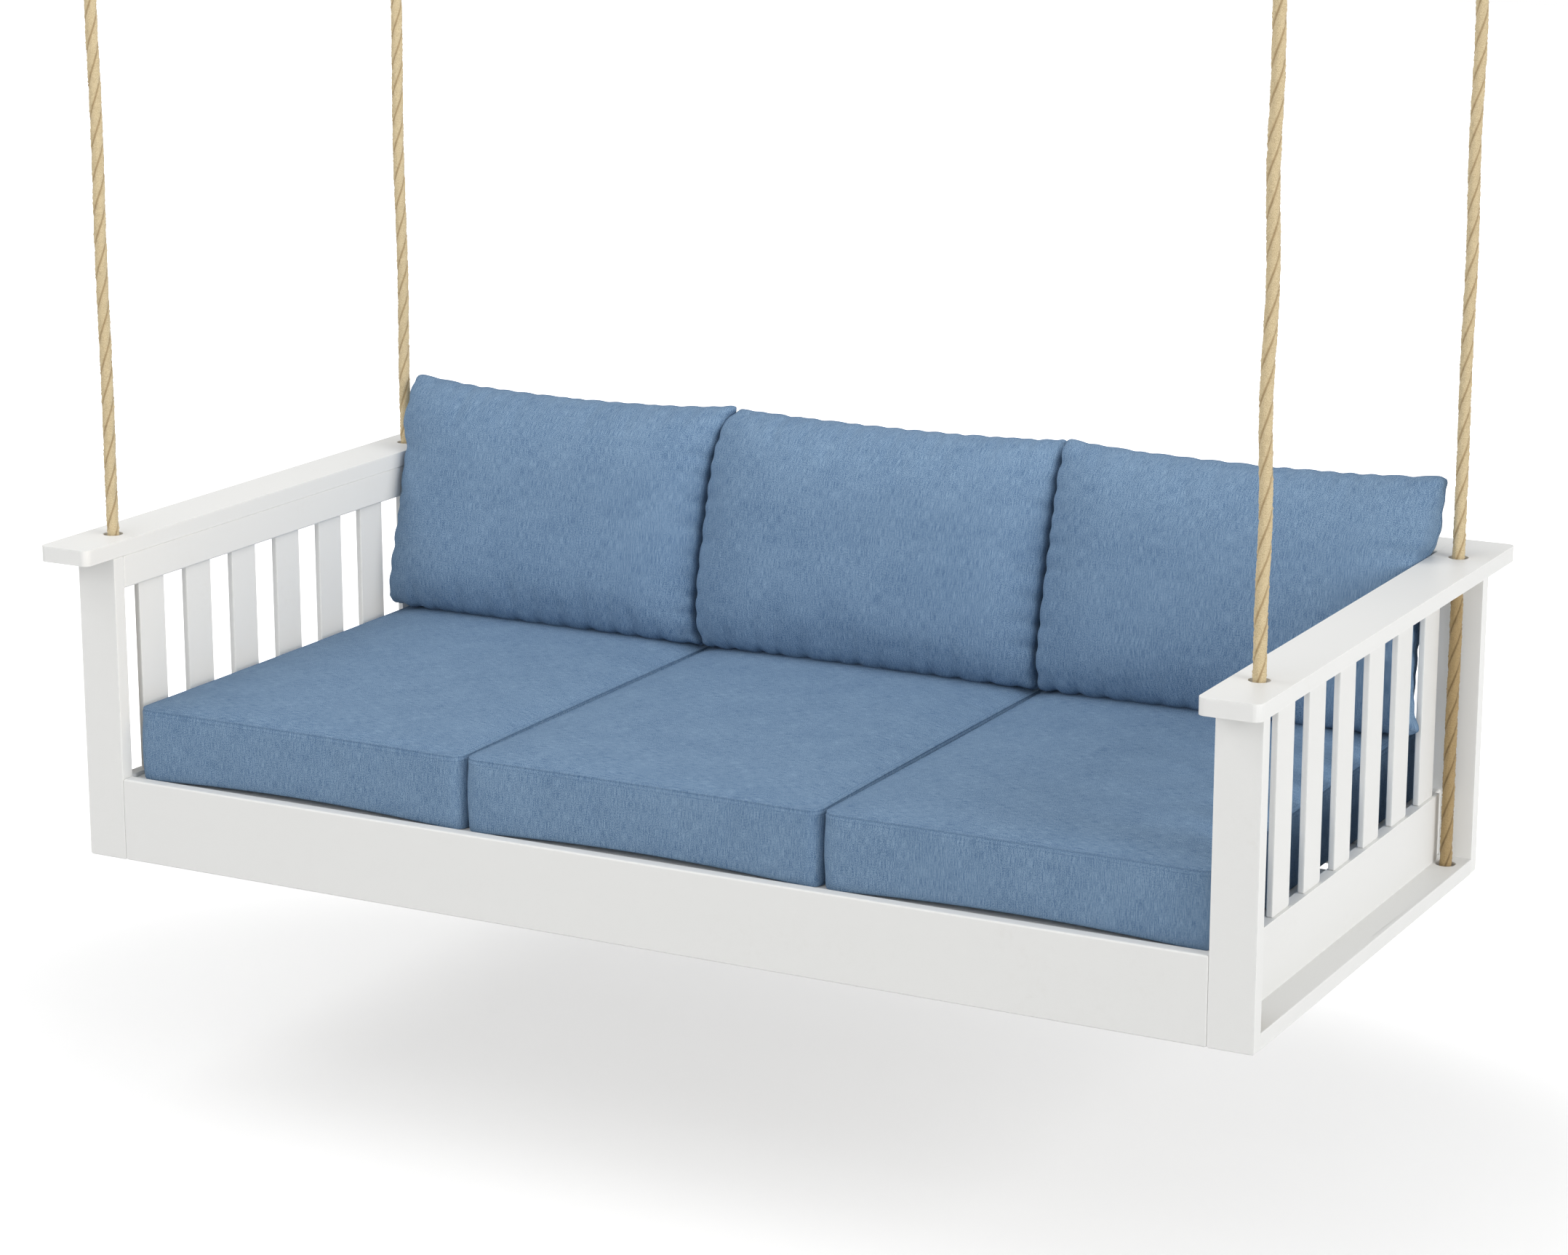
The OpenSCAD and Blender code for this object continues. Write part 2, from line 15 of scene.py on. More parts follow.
import bpy
import numpy as np
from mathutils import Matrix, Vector

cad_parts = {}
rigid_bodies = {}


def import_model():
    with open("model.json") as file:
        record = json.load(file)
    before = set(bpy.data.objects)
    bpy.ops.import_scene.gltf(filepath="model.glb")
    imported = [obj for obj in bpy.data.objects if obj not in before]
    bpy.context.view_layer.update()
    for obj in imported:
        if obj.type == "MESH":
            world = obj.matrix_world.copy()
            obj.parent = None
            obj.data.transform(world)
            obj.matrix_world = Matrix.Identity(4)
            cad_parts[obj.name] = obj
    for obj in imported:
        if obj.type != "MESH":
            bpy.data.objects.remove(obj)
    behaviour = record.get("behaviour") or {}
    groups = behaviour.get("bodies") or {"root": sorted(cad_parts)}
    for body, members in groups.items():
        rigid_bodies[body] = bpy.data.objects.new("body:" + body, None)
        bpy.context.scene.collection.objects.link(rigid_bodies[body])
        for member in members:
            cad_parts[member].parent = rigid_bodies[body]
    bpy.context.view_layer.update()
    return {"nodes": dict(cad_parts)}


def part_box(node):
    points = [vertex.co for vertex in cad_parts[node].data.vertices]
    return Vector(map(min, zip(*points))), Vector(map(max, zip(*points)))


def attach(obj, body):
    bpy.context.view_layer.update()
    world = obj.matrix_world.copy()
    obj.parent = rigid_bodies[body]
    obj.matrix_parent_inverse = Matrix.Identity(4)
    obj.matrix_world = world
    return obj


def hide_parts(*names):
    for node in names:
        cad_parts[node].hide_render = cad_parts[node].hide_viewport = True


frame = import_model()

log = logging.getLogger("porch_swing_seat")

MM = 0.001
SEAT_FRAME = Vector((0.0, 5.0, -1635.0))  # the seat frame's zero in the row frame, in mm
Colour = tuple[float, float, float, float]  # linear red, green and blue, and alpha
WHITE: Colour = (1.0, 1.0, 1.0, 1.0)
CUSHION_PLACES = ("left", "middle", "right")


class Side(Enum):
    """A side of the seat, seen from the front."""

    LEFT = -1
    RIGHT = 1

    @property
    def word(self) -> str:
        """The side's name as the nodes spell it."""
        return self.name.lower()


class Row(Enum):
    """The front or the back pair of ropes."""

    FRONT = "front"
    BACK = "back"

    @property
    def body(self) -> str:
        """The body that this pair's upper ropes ride on."""
        return f"{self.value}_ropes"


def place(points: np.ndarray | Sequence[float]) -> np.ndarray:
    """Turns seat-frame millimetres into row-frame metres.

    Args:
        points: One point or an array of points, in millimetres.

    Returns:
        The same points in metres.
    """
    return (np.asarray(points, float) + np.array(SEAT_FRAME)) * MM


def srgb(red: float, green: float, blue: float) -> Colour:
    """Turns a display colour from 0 to 255 into the linear colour that a shader takes.

    Args:
        red: Red as a screen shows it.
        green: Green as a screen shows it.
        blue: Blue as a screen shows it.

    Returns:
        Linear red, green, blue and an alpha of 1.
    """
    linear = [
        c / 12.92 if c <= 0.04045 else ((c + 0.055) / 1.055) ** 2.4
        for c in (red / 255, green / 255, blue / 255)
    ]
    return (linear[0], linear[1], linear[2], 1.0)


# ---------------------------------------------------------------------------
# Material graphs
# ---------------------------------------------------------------------------


class Tone:
    """A number in a material graph. Arithmetic on it adds Math nodes to the graph."""

    def __init__(self, graph: "Graph", socket: bpy.types.NodeSocket) -> None:
        """Keeps the graph and the output socket that the number comes from."""
        self.graph = graph
        self.socket = socket

    def __add__(self, other: "Tone | float") -> "Tone":
        """This number plus another."""
        return self.graph.maths("ADD", self, other)

    __radd__ = __add__

    def __sub__(self, other: "Tone | float") -> "Tone":
        """This number less another."""
        return self.graph.maths("SUBTRACT", self, other)

    def __rsub__(self, other: float) -> "Tone":
        """A plain number less this one."""
        return self.graph.maths("SUBTRACT", other, self)

    def __mul__(self, other: "Tone | float") -> "Tone":
        """This number times another."""
        return self.graph.maths("MULTIPLY", self, other)

    __rmul__ = __mul__

    def __pow__(self, other: "Tone | float") -> "Tone":
        """This number to a power."""
        return self.graph.maths("POWER", self, other)

    def __rpow__(self, other: float) -> "Tone":
        """A plain number to the power of this one."""
        return self.graph.maths("POWER", other, self)

    def __abs__(self) -> "Tone":
        """This number without its sign."""
        return self.graph.maths("ABSOLUTE", self)

    def sine(self) -> "Tone":
        """The sine of this number."""
        return self.graph.maths("SINE", self)

    def at_least(self, other: "Tone | float") -> "Tone":
        """The larger of this number and another."""
        return self.graph.maths("MAXIMUM", self, other)

    def at_most(self, other: "Tone | float") -> "Tone":
        """The smaller of this number and another."""
        return self.graph.maths("MINIMUM", self, other)

    def spread(self, low: float, high: float, to_low: float = 0.0, to_high: float = 1.0) -> "Tone":
        """Maps a range smoothly onto another and stops at its ends.

        Args:
            low: Where the range starts.
            high: Where it ends.
            to_low: The value at low.
            to_high: The value at high.

        Returns:
            The mapped number.
        """
        node = self.graph.node(
            "ShaderNodeMapRange",
            {"interpolation_type": "SMOOTHSTEP"},
            {"Value": self, "From Min": low, "From Max": high, "To Min": to_low, "To Max": to_high},
        )
        return Tone(self.graph, node.outputs["Result"])


class Graph:
    """The graph of a material or a world, and the tools to add its nodes."""

    def __init__(self, owner: bpy.types.Material | bpy.types.World) -> None:
        """Empties the owner's graph.

        Args:
            owner: The material or the world.
        """
        owner.use_nodes = True
        self.tree = owner.node_tree
        self.tree.nodes.clear()

    def feed(self, socket: bpy.types.NodeSocket, value: Any) -> None:
        """Links an input to a socket or a Tone, or gives it a value.

        Args:
            socket: The input.
            value: A Tone, an output socket or a plain value.
        """
        if isinstance(value, Tone):
            value = value.socket
        if isinstance(value, bpy.types.NodeSocket):
            self.tree.links.new(value, socket)
        else:
            socket.default_value = value

    def node(
        self, kind: str, settings: dict[str, Any], inputs: dict[str | int, Any],
    ) -> bpy.types.Node:
        """Adds one node.

        Args:
            kind: The node's type.
            settings: Values of the node's own properties.
            inputs: Values, sockets or Tones for its inputs, by name or number.

        Returns:
            The new node.
        """
        made = self.tree.nodes.new(kind)
        for key, value in settings.items():
            setattr(made, key, value)
        for key, value in inputs.items():
            self.feed(made.inputs[key], value)
        return made

    def maths(self, operation: str, first: Tone | float, second: Tone | float = 0.0) -> Tone:
        """Adds a Math node.

        Args:
            operation: What the node does.
            first: Its first input.
            second: Its second input.

        Returns:
            The node's result.
        """
        made = self.node("ShaderNodeMath", {"operation": operation}, {0: first, 1: second})
        return Tone(self, made.outputs[0])

    def object_point(self) -> bpy.types.NodeSocket:
        """The surface point in the object's coordinates, in metres."""
        return self.node("ShaderNodeTexCoord", {}, {}).outputs["Object"]

    def cloth_point(self, name: str) -> bpy.types.NodeSocket:
        """The surface point in one of the piece's own UV maps, in metres."""
        return self.node("ShaderNodeUVMap", {"uv_map": name}, {}).outputs["UV"]

    def stored(self, name: str) -> Tone:
        """A number that the piece's mesh carries under a name."""
        made = self.node("ShaderNodeAttribute", {"attribute_name": name}, {})
        return Tone(self, made.outputs["Fac"])

    def parts_of(self, vector: bpy.types.NodeSocket) -> tuple[Tone, Tone, Tone]:
        """The three coordinates of a vector."""
        made = self.node("ShaderNodeSeparateXYZ", {}, {0: vector})
        return tuple(Tone(self, made.outputs[i]) for i in range(3))

    def stretched(self, vector: bpy.types.NodeSocket, factors: Sequence[float]) -> bpy.types.NodeSocket:
        """A vector multiplied along each axis.

        Args:
            vector: The vector.
            factors: One factor for each axis.

        Returns:
            The stretched vector.
        """
        made = self.node("ShaderNodeVectorMath", {"operation": "MULTIPLY"}, {0: vector, 1: factors})
        return made.outputs[0]

    def noise(
        self, vector: bpy.types.NodeSocket, scale: float, detail: float, rough: float,
    ) -> Tone:
        """Cloudy noise from 0 to 1.

        Args:
            vector: Where it is read.
            scale: Clouds in a metre.
            detail: How many finer layers it has.
            rough: How strong the finer layers are.

        Returns:
            The noise.
        """
        made = self.node(
            "ShaderNodeTexNoise", {},
            {"Vector": vector, "Scale": scale, "Detail": detail, "Roughness": rough},
        )
        return Tone(self, made.outputs["Fac"])

    def blend(self, share: Tone | float, first: Any, second: Any) -> bpy.types.NodeSocket:
        """A colour between two others.

        Args:
            share: How much of the second colour shows.
            first: A colour or a colour socket.
            second: A colour or a colour socket.

        Returns:
            The mixed colour.
        """
        made = self.node("ShaderNodeMix", {"data_type": "RGBA"}, {0: share, 6: first, 7: second})
        return made.outputs[2]

    def relief(self, height: Tone, strength: float, distance: float) -> bpy.types.NodeSocket:
        """A bumped normal.

        Args:
            height: The height pattern, from 0 to 1.
            strength: How much of it shows.
            distance: How high 1 is, in metres.

        Returns:
            The normal.
        """
        made = self.node(
            "ShaderNodeBump", {}, {"Strength": strength, "Distance": distance, "Height": height}
        )
        return made.outputs["Normal"]

    def seen(self) -> Tone:
        """1 for what the camera, a reflection or clear glass sees, 0 for what is only lit."""
        path = self.node("ShaderNodeLightPath", {}, {})
        camera, glossy, through = (
            Tone(self, path.outputs[f"Is {ray} Ray"]) for ray in ("Camera", "Glossy", "Transmission"))
        return camera.at_least(glossy).at_least(through)


class Finish(Graph):
    """A material's graph, with its surface shader and its output."""

    def __init__(self, name: str) -> None:
        """Makes the material with a plain surface.

        Args:
            name: The material's name.
        """
        self.material = bpy.data.materials.new(name)
        super().__init__(self.material)
        self.shader = self.node("ShaderNodeBsdfPrincipled", {}, {})
        self.output = self.node(
            "ShaderNodeOutputMaterial", {}, {"Surface": self.shader.outputs["BSDF"]})

    def surface(self, **inputs: Any) -> bpy.types.Material:
        """Sets the surface shader's inputs and returns the material.

        Args:
            inputs: Values or sockets by the input's name, with _ for spaces.

        Returns:
            The finished material.
        """
        for key, value in inputs.items():
            self.feed(self.shader.inputs[key.replace("_", " ")], value)
        return self.material


@dataclass(frozen=True)
class BoardPaint:
    """Satin white moulded board: faint orange peel, soft clouds, edges rubbed a little and painted
    lighter as a highlight.
    """

    colour: Colour = srgb(233, 233, 231)
    soiled: Colour = srgb(222, 220, 215)
    # rubbed is the edge colour, lighter than the board: a painted highlight on the rounded edges
    rubbed: Colour = srgb(240, 240, 238)
    roughness: float = 0.42
    edge: float = 5.0

    def material(self, name: str, box: tuple[Vector, Vector] | None = None) -> bpy.types.Material:
        """Builds the finish for one board.

        Args:
            name: The material's name.
            box: The board's lowest and highest corner in metres, which the rubbed edges and their
                painted highlight follow; a row of boards has none.

        Returns:
            The material.
        """
        g = Finish(name)
        point = g.object_point()
        clouds = g.noise(point, 7.0, 3.0, 0.55)
        specks = g.noise(point, 90.0, 4.0, 0.6)
        peel = g.noise(point, 620.0, 2.0, 0.5)
        dirt = clouds.spread(0.52, 0.8) * specks.spread(0.45, 0.75) * 0.30
        shade = g.blend(dirt, self.colour, self.soiled)
        rough = clouds * 0.12 + peel * 0.06 + (self.roughness - 0.09)
        if box is not None:
            gaps = []
            for i, axis in enumerate(g.parts_of(point)):
                middle, half = (box[0][i] + box[1][i]) / 2, (box[1][i] - box[0][i]) / 2
                gaps.append(half - abs(axis - middle))
            x, y, z = gaps
            nearest = x.at_most(y).at_most(z)
            furthest = x.at_least(y).at_least(z)
            second = x + y + z - nearest - furthest
            # Near the edges: a little rougher where rubbed, and blended towards rubbed, which is a
            # painted highlight
            wear_and_highlight = second.spread(0.0, self.edge * MM, 1.0, 0.0) * specks.spread(0.3, 0.6)
            shade = g.blend(wear_and_highlight * 0.55, shade, self.rubbed)
            rough = rough + wear_and_highlight * 0.10
        return g.surface(
            Base_Color=shade, Roughness=rough, Normal=g.relief(peel, 0.25, 0.0004),
            Specular_IOR_Level=0.1, Coat_Weight=0.0,
        )


@dataclass(frozen=True)
class JoistTimber:
    """Bare sawn softwood of the deck's joists and cleats, greyed a little."""

    pale: Colour = srgb(214, 186, 146)
    dark: Colour = srgb(164, 128, 88)
    grey: Colour = srgb(170, 160, 146)

    def material(self, name: str) -> bpy.types.Material:
        """Builds the finish, whose grain runs along Y.

        Args:
            name: The material's name.

        Returns:
            The material.
        """
        g = Finish(name)
        point = g.object_point()
        bands = g.noise(g.stretched(point, (55.0, 1.6, 55.0)), 1.0, 3.0, 0.6)
        fibres = g.noise(g.stretched(point, (900.0, 14.0, 900.0)), 1.0, 2.0, 0.5)
        weather = g.noise(point, 5.0, 3.0, 0.6)
        grain = bands.spread(0.35, 0.68)
        colour = g.blend(grain, self.pale, self.dark)
        colour = g.blend(weather.spread(0.45, 0.8) * 0.5, colour, self.grey)
        return g.surface(
            Base_Color=colour, Roughness=fibres * 0.2 + 0.62,
            Normal=g.relief(fibres * 0.6 + grain * 0.4, 0.4, 0.0005),
        )


@dataclass(frozen=True)
class CushionCloth:
    """Heathered denim-blue twill with slubs along its warp, stitches beside its seams and painted shade
    right along them.
    """

    pale: Colour = srgb(144, 170, 194)
    dark: Colour = srgb(62, 93, 129)
    thread: Colour = srgb(70, 97, 128)
    slub_width: float = 1.1
    slub_length: float = 17.0
    twill: float = 2.3
    stitch_in: float = 5.5
    stitch: float = 4.5

    def material(self, name: str, uv: str, seam: str) -> bpy.types.Material:
        """Builds the finish.

        Args:
            name: The material's name.
            uv: The UV map, in metres, whose V runs along the warp.
            seam: The number on the mesh that says how far the nearest seam is, in metres.

        Returns:
            The material.
        """
        g = Finish(name)
        cloth = g.cloth_point(uv)
        u, v, _ = g.parts_of(cloth)
        slubs = g.noise(
            g.stretched(cloth, (1000 / self.slub_width, 1000 / self.slub_length, 1.0)), 1.0, 2.0, 0.5)
        flecks = g.noise(g.stretched(cloth, (920.0, 640.0, 1.0)), 1.0, 1.0, 0.6)
        clouds = g.noise(cloth, 14.0, 3.0, 0.55)
        rib = ((u + v) * (2000 * math.pi / self.twill)).sine() * 0.5 + 0.5
        away = g.stored(seam)
        beside = abs(away - self.stitch_in * MM).spread(0.0002, 0.0009, 1.0, 0.0)
        dash = ((u + v) * (2000 * math.pi / self.stitch)).sine().spread(-0.5, 0.1)
        stitches = beside * dash
        pale = (slubs - 0.5) * 1.35 + (flecks - 0.5) * 2.1 + (clouds - 0.5) * 0.3
        pale = pale + (rib - 0.5) * 0.34 + 0.5
        colour = g.blend(pale.spread(-0.2, 1.2), self.dark, self.pale)
        # Painted shade: within 2.2 mm of a seam the cloth darkens towards the thread colour, as the
        # seam's fold would be shaded
        crease = away.spread(0.0, 0.0022, 1.0, 0.0)
        colour = g.blend(stitches * 0.55 + crease * 0.35, colour, self.thread)
        weave = rib * 0.55 + slubs * 0.7 + flecks * 0.35 - stitches * 0.9
        return g.surface(
            Base_Color=colour, Roughness=slubs * 0.1 + 0.84, Normal=g.relief(weave, 0.5, 0.00035),
            Sheen_Weight=0.03, Sheen_Roughness=0.5, Sheen_Tint=srgb(190, 205, 222),
            Specular_IOR_Level=0.1,
        )


@dataclass(frozen=True)
class RopeFibre:
    """Laid natural-look fibre: pale crowns, grooves darkened with painted shade and fine twisted yarns.
    """

    crown: Colour = srgb(217, 199, 161)
    # groove is the colour deep between strands: painted shade
    groove: Colour = srgb(142, 113, 74)
    dusty: Colour = srgb(170, 146, 107)

    def material(self, name: str, uv: str, depth: str) -> bpy.types.Material:
        """Builds the finish.

        Args:
            name: The material's name.
            uv: The UV map: U goes round the rope, V along it, both in metres.
            depth: The number on the mesh that is 0 on a strand's crown and 1 in a groove.

        Returns:
            The material.
        """
        g = Finish(name)
        laid = g.cloth_point(uv)
        u, v, _ = g.parts_of(laid)
        sunk = g.stored(depth)
        yarns = g.noise(g.stretched(laid, (900.0, 520.0, 1.0)), 1.0, 2.0, 0.7)
        yarn_rib = ((u * 2.2 + v * 0.55) * (2000 * math.pi / 2.4)).sine() * 0.5 + 0.5
        patches = g.noise(laid, 60.0, 3.0, 0.6)
        # Painted shade: the colour darkens from a strand's crown into the groove between strands
        colour = g.blend(sunk.spread(0.12, 1.0) * 0.85, self.crown, self.groove)
        fibre = (yarns - 0.5) * 3.6 + (patches - 0.5) * 0.8 + (yarn_rib - 0.5) * 0.18
        colour = g.blend(fibre.spread(-0.35, 0.6) * 0.62, colour, self.dusty)
        height = yarn_rib * 0.25 + yarns * 0.9
        return g.surface(
            Base_Color=colour, Roughness=yarns * 0.12 + 0.80, Normal=g.relief(height, 0.6, 0.0005),
            Sheen_Weight=0.15, Sheen_Roughness=0.5, Specular_IOR_Level=0.25,
        )


@dataclass(frozen=True)
class HangerPaint:
    """Black powder coat, fine-grained, with rubbed corners."""

    colour: Colour = srgb(38, 38, 40)
    rubbed: Colour = srgb(78, 77, 76)

    def material(self, name: str) -> bpy.types.Material:
        """Builds the finish.

        Args:
            name: The material's name.

        Returns:
            The material.
        """
        g = Finish(name)
        point = g.object_point()
        grain = g.noise(point, 1400.0, 2.0, 0.5)
        scuffs = g.noise(g.stretched(point, (60.0, 60.0, 22.0)), 1.0, 4.0, 0.7)
        colour = g.blend(scuffs.spread(0.6, 0.78) * 0.6, self.colour, self.rubbed)
        return g.surface(
            Base_Color=colour, Roughness=grain * 0.1 + scuffs * 0.15 + 0.38,
            Normal=g.relief(grain, 0.35, 0.0002), Coat_Weight=0.0,
        )


@dataclass(frozen=True)
class BareSteel:
    """Zinc-plated or galvanised steel, spangled and a little dulled."""

    bright: Colour = srgb(196, 198, 200)
    dull: Colour = srgb(150, 152, 154)
    spangle: float = 240.0
    roughness: float = 0.34

    def material(self, name: str) -> bpy.types.Material:
        """Builds the finish.

        Args:
            name: The material's name.

        Returns:
            The material.
        """
        g = Finish(name)
        point = g.object_point()
        cells = g.node(
            "ShaderNodeTexVoronoi", {"feature": "F1"}, {"Vector": point, "Scale": self.spangle})
        red, _, _ = g.parts_of(cells.outputs["Color"])
        haze = g.noise(point, 40.0, 3.0, 0.6)
        colour = g.blend(red * 0.5 + haze.spread(0.4, 0.8) * 0.4, self.bright, self.dull)
        return g.surface(
            Base_Color=colour, Metallic=0.9, Roughness=red * 0.12 + haze * 0.1 + (self.roughness - 0.1),
            Normal=g.relief(haze, 0.15, 0.0002),
        )


# ---------------------------------------------------------------------------
# Small tools for meshes
# ---------------------------------------------------------------------------


def clear_selection() -> None:
    """Deselects every object."""
    for obj in bpy.context.view_layer.objects:
        obj.select_set(False)


def choose(*objects: bpy.types.Object) -> None:
    """Selects these objects alone and makes the last one active."""
    clear_selection()
    for obj in objects:
        obj.select_set(True)
    bpy.context.view_layer.objects.active = objects[-1]


def dress(obj: bpy.types.Object, material: bpy.types.Material) -> bpy.types.Object:
    """Gives a piece one material all over."""
    obj.data.materials.clear()
    obj.data.materials.append(material)
    return obj


def round_edges(obj: bpy.types.Object, width: float, segments: int) -> None:
    """Rounds the sharp edges of a carried-over node with live modifiers.

    Args:
        obj: The node's object.
        width: How far the rounding reaches from an edge, in millimetres.
        segments: How many flats the rounding has.
    """
    weld = obj.modifiers.new("joined_triangles", "WELD")
    weld.merge_threshold = 0.00001
    bevel = obj.modifiers.new("rounded_edges", "BEVEL")
    bevel.width = width * MM
    bevel.segments = segments
    bevel.limit_method = "ANGLE"
    bevel.angle_limit = math.radians(40)
    bevel.use_clamp_overlap = True
    bevel.harden_normals = True


def mesh_piece(name: str, points: np.ndarray, faces: Sequence[Sequence[int]]) -> bpy.types.Object:
    """Makes an object from points and faces, with its place in its mesh.

    Args:
        name: The piece's name.
        points: Its points in row-frame metres.
        faces: Its faces, each a list of point numbers.

    Returns:
        The new object, smooth all over.
    """
    mesh = bpy.data.meshes.new(name)
    mesh.from_pydata([tuple(p) for p in points], [], [tuple(f) for f in faces])
    mesh.shade_smooth()
    mesh.update()
    obj = bpy.data.objects.new(name, mesh)
    bpy.context.scene.collection.objects.link(obj)
    return obj


def store(mesh: bpy.types.Mesh, name: str, values: np.ndarray) -> None:
    """Keeps one number for each point of a mesh under a name."""
    made = mesh.attributes.new(name, "FLOAT", "POINT")
    made.data.foreach_set("value", np.asarray(values, np.float32))


# ---------------------------------------------------------------------------
# Camera and studio
# ---------------------------------------------------------------------------


@dataclass(frozen=True)
class ViewCamera:
    """The camera: where it stands in the row frame, which way it looks and its lens."""

    position: tuple[float, float, float] = (2.8093, -5.2595, 0.2380)
    azimuth: float = 28.003
    elevation: float = 14.006
    lens: float = 90.03
    sensor: float = 36.0

    def build(self) -> bpy.types.Object:
        """Makes the camera and makes it the scene's own."""
        data = bpy.data.cameras.new("view_camera")
        data.lens = self.lens
        data.sensor_fit = "HORIZONTAL"
        data.sensor_width = self.sensor
        data.clip_end = 60.0
        camera = bpy.data.objects.new("view_camera", data)
        camera.location = self.position
        camera.rotation_euler = (math.radians(90 - self.elevation), 0.0, math.radians(self.azimuth))
        bpy.context.scene.collection.objects.link(camera)
        bpy.context.scene.camera = camera
        return camera


@dataclass(frozen=True)
class SoftLamp:
    """A soft square lamp that looks at a point; with only, it lights just the boards named so."""

    name: str
    position: tuple[float, float, float]
    target: tuple[float, float, float]
    size: float
    power: float
    colour: tuple[float, float, float] = (1.0, 1.0, 1.0)
    only: tuple[str, ...] = ()

    def build(self) -> bpy.types.Object:
        """Makes the lamp."""
        data = bpy.data.lights.new(self.name, "AREA")
        data.shape = "SQUARE"
        data.size = self.size
        data.energy = self.power
        data.color = self.colour
        lamp = bpy.data.objects.new(self.name, data)
        lamp.location = self.position
        aim = Vector(self.target) - Vector(self.position)
        lamp.rotation_euler = aim.to_track_quat("-Z", "Y").to_euler()
        lamp.visible_camera = False
        bpy.context.scene.collection.objects.link(lamp)
        if self.only:
            lit = bpy.data.collections.new(f"lit_by_{self.name}")
            for name, node in frame["nodes"].items():
                if name.startswith(self.only):
                    lit.objects.link(node)
            lamp.light_linking.receiver_collection = lit
        return lamp


@dataclass
class Studio:
    """The pale floor, the white surroundings and the lamps."""

    floor_drop: float = 400.0
    floor_size: float = 40.0
    floor_thickness: float = 0.05
    floor_tone: float = 0.71
    floor_lift: float = 0.415
    shadow_half: tuple[float, float] = (1.62, 0.92)
    shadow_fade: tuple[float, float] = (0.75, 1.7)  # where white starts and is full, in halves
    sky: float = 0.46
    lamps: list[SoftLamp] = field(default_factory=lambda: [
        SoftLamp("left_lamp", (-1.6, -4.6, 2.4), (0.0, 0.0, -1.2), 3.4, 45.0),
        SoftLamp("high_lamp", (-2.6, -1.0, 2.2), (0.3, 0.0, -1.3), 2.4, 36.0),
        SoftLamp("seat_lamp", (0.35, 0.0, 0.35), (-0.95, 0.0, -1.25), 1.2, 6.5),
        SoftLamp("rear_lamp", (-0.6, 3.6, 1.0), (0.0, 0.0, -1.3), 2.6, 10.0),
        SoftLamp("far_side_lamp", (12.0, -3.0, 3.0), (0.0, 0.0, -1.3), 7.0, 815.0),
        SoftLamp("far_front_lamp", (1.0, -13.0, 3.0), (0.0, 0.0, -1.3), 7.0, 325.0),
        SoftLamp(
            "warm_lamp", (0.9, -0.35, -1.1), (-0.95, 0.0, -1.3), 0.6, 3.8, colour=(1.0, 0.66, 0.22),
            only=("arm_left", "side_rail_upper_left", "side_slat_left", "post_front_left")),
        SoftLamp(
            "post_lamp", (2.2, -1.8, -1.0), (0.965, 0.45, -1.3), 0.6, 8.0, only=("post_back_right",)),
    ])

    def build(self) -> None:
        """Makes the floor, the surroundings, the lamps and the plain view transform."""
        bpy.context.scene.view_settings.view_transform = "Standard"
        self._floor()
        self._surroundings()
        for lamp in self.lamps:
            lamp.build()

    def _floor(self) -> bpy.types.Object:
        """Makes the floor: a thin slab whose upper face is pale and keeps the shadow."""
        clear_selection()
        top = place((0.0, 0.0, -self.floor_drop))[2]
        bpy.ops.mesh.primitive_plane_add(size=self.floor_size, location=(0.0, 0.0, top))
        floor = bpy.context.object
        floor.name = "studio_floor"
        bpy.ops.object.mode_set(mode="EDIT")
        bpy.ops.mesh.select_all(action="SELECT")
        down = (0.0, 0.0, -self.floor_thickness)
        bpy.ops.mesh.extrude_region_move(TRANSFORM_OT_translate={"value": down})
        bpy.ops.mesh.select_all(action="SELECT")
        bpy.ops.mesh.normals_make_consistent(inside=False)
        bpy.ops.object.mode_set(mode="OBJECT")
        bpy.ops.object.transform_apply(location=True, rotation=True, scale=True)
        return dress(floor, self._floor_finish())

    def _floor_finish(self) -> bpy.types.Material:
        """A matt floor that the camera sees lifted to white, but for the shadow's place."""
        g = Finish("pale_floor")
        tone, lift = self.floor_tone, self.floor_lift
        g.surface(Base_Color=(tone, tone, tone, 1.0), Roughness=1.0, Specular_IOR_Level=0.0)
        x, y, _ = g.parts_of(g.object_point())
        half_x, half_y = self.shadow_half
        gone = (x * x * (1 / half_x**2) + y * y * (1 / half_y**2)) ** 0.5
        lifted_to = g.blend(gone.spread(*self.shadow_fade), (lift, lift, lift, 1.0), WHITE)
        glow = g.node("ShaderNodeEmission", {}, {"Color": lifted_to, "Strength": 1.0})
        matt = g.shader.outputs["BSDF"]
        lifted = g.node("ShaderNodeAddShader", {}, {0: matt, 1: glow.outputs[0]})
        mixed = g.node("ShaderNodeMixShader", {}, {0: g.seen(), 1: matt, 2: lifted.outputs[0]})
        g.feed(g.output.inputs["Surface"], mixed.outputs[0])
        return g.material

    def _surroundings(self) -> None:
        """White for what sees the surroundings, a plain soft sky for what they light."""
        world = bpy.data.worlds.new("white_surroundings")
        bpy.context.scene.world = world
        g = Graph(world)
        sky, white = (
            g.node("ShaderNodeBackground", {}, {"Color": WHITE, "Strength": strength})
            for strength in (self.sky, 1.0)
        )
        mixed = g.node(
            "ShaderNodeMixShader", {}, {0: g.seen(), 1: sky.outputs[0], 2: white.outputs[0]})
        g.node("ShaderNodeOutputWorld", {}, {"Surface": mixed.outputs[0]})


# ---------------------------------------------------------------------------
# Ropes
# ---------------------------------------------------------------------------


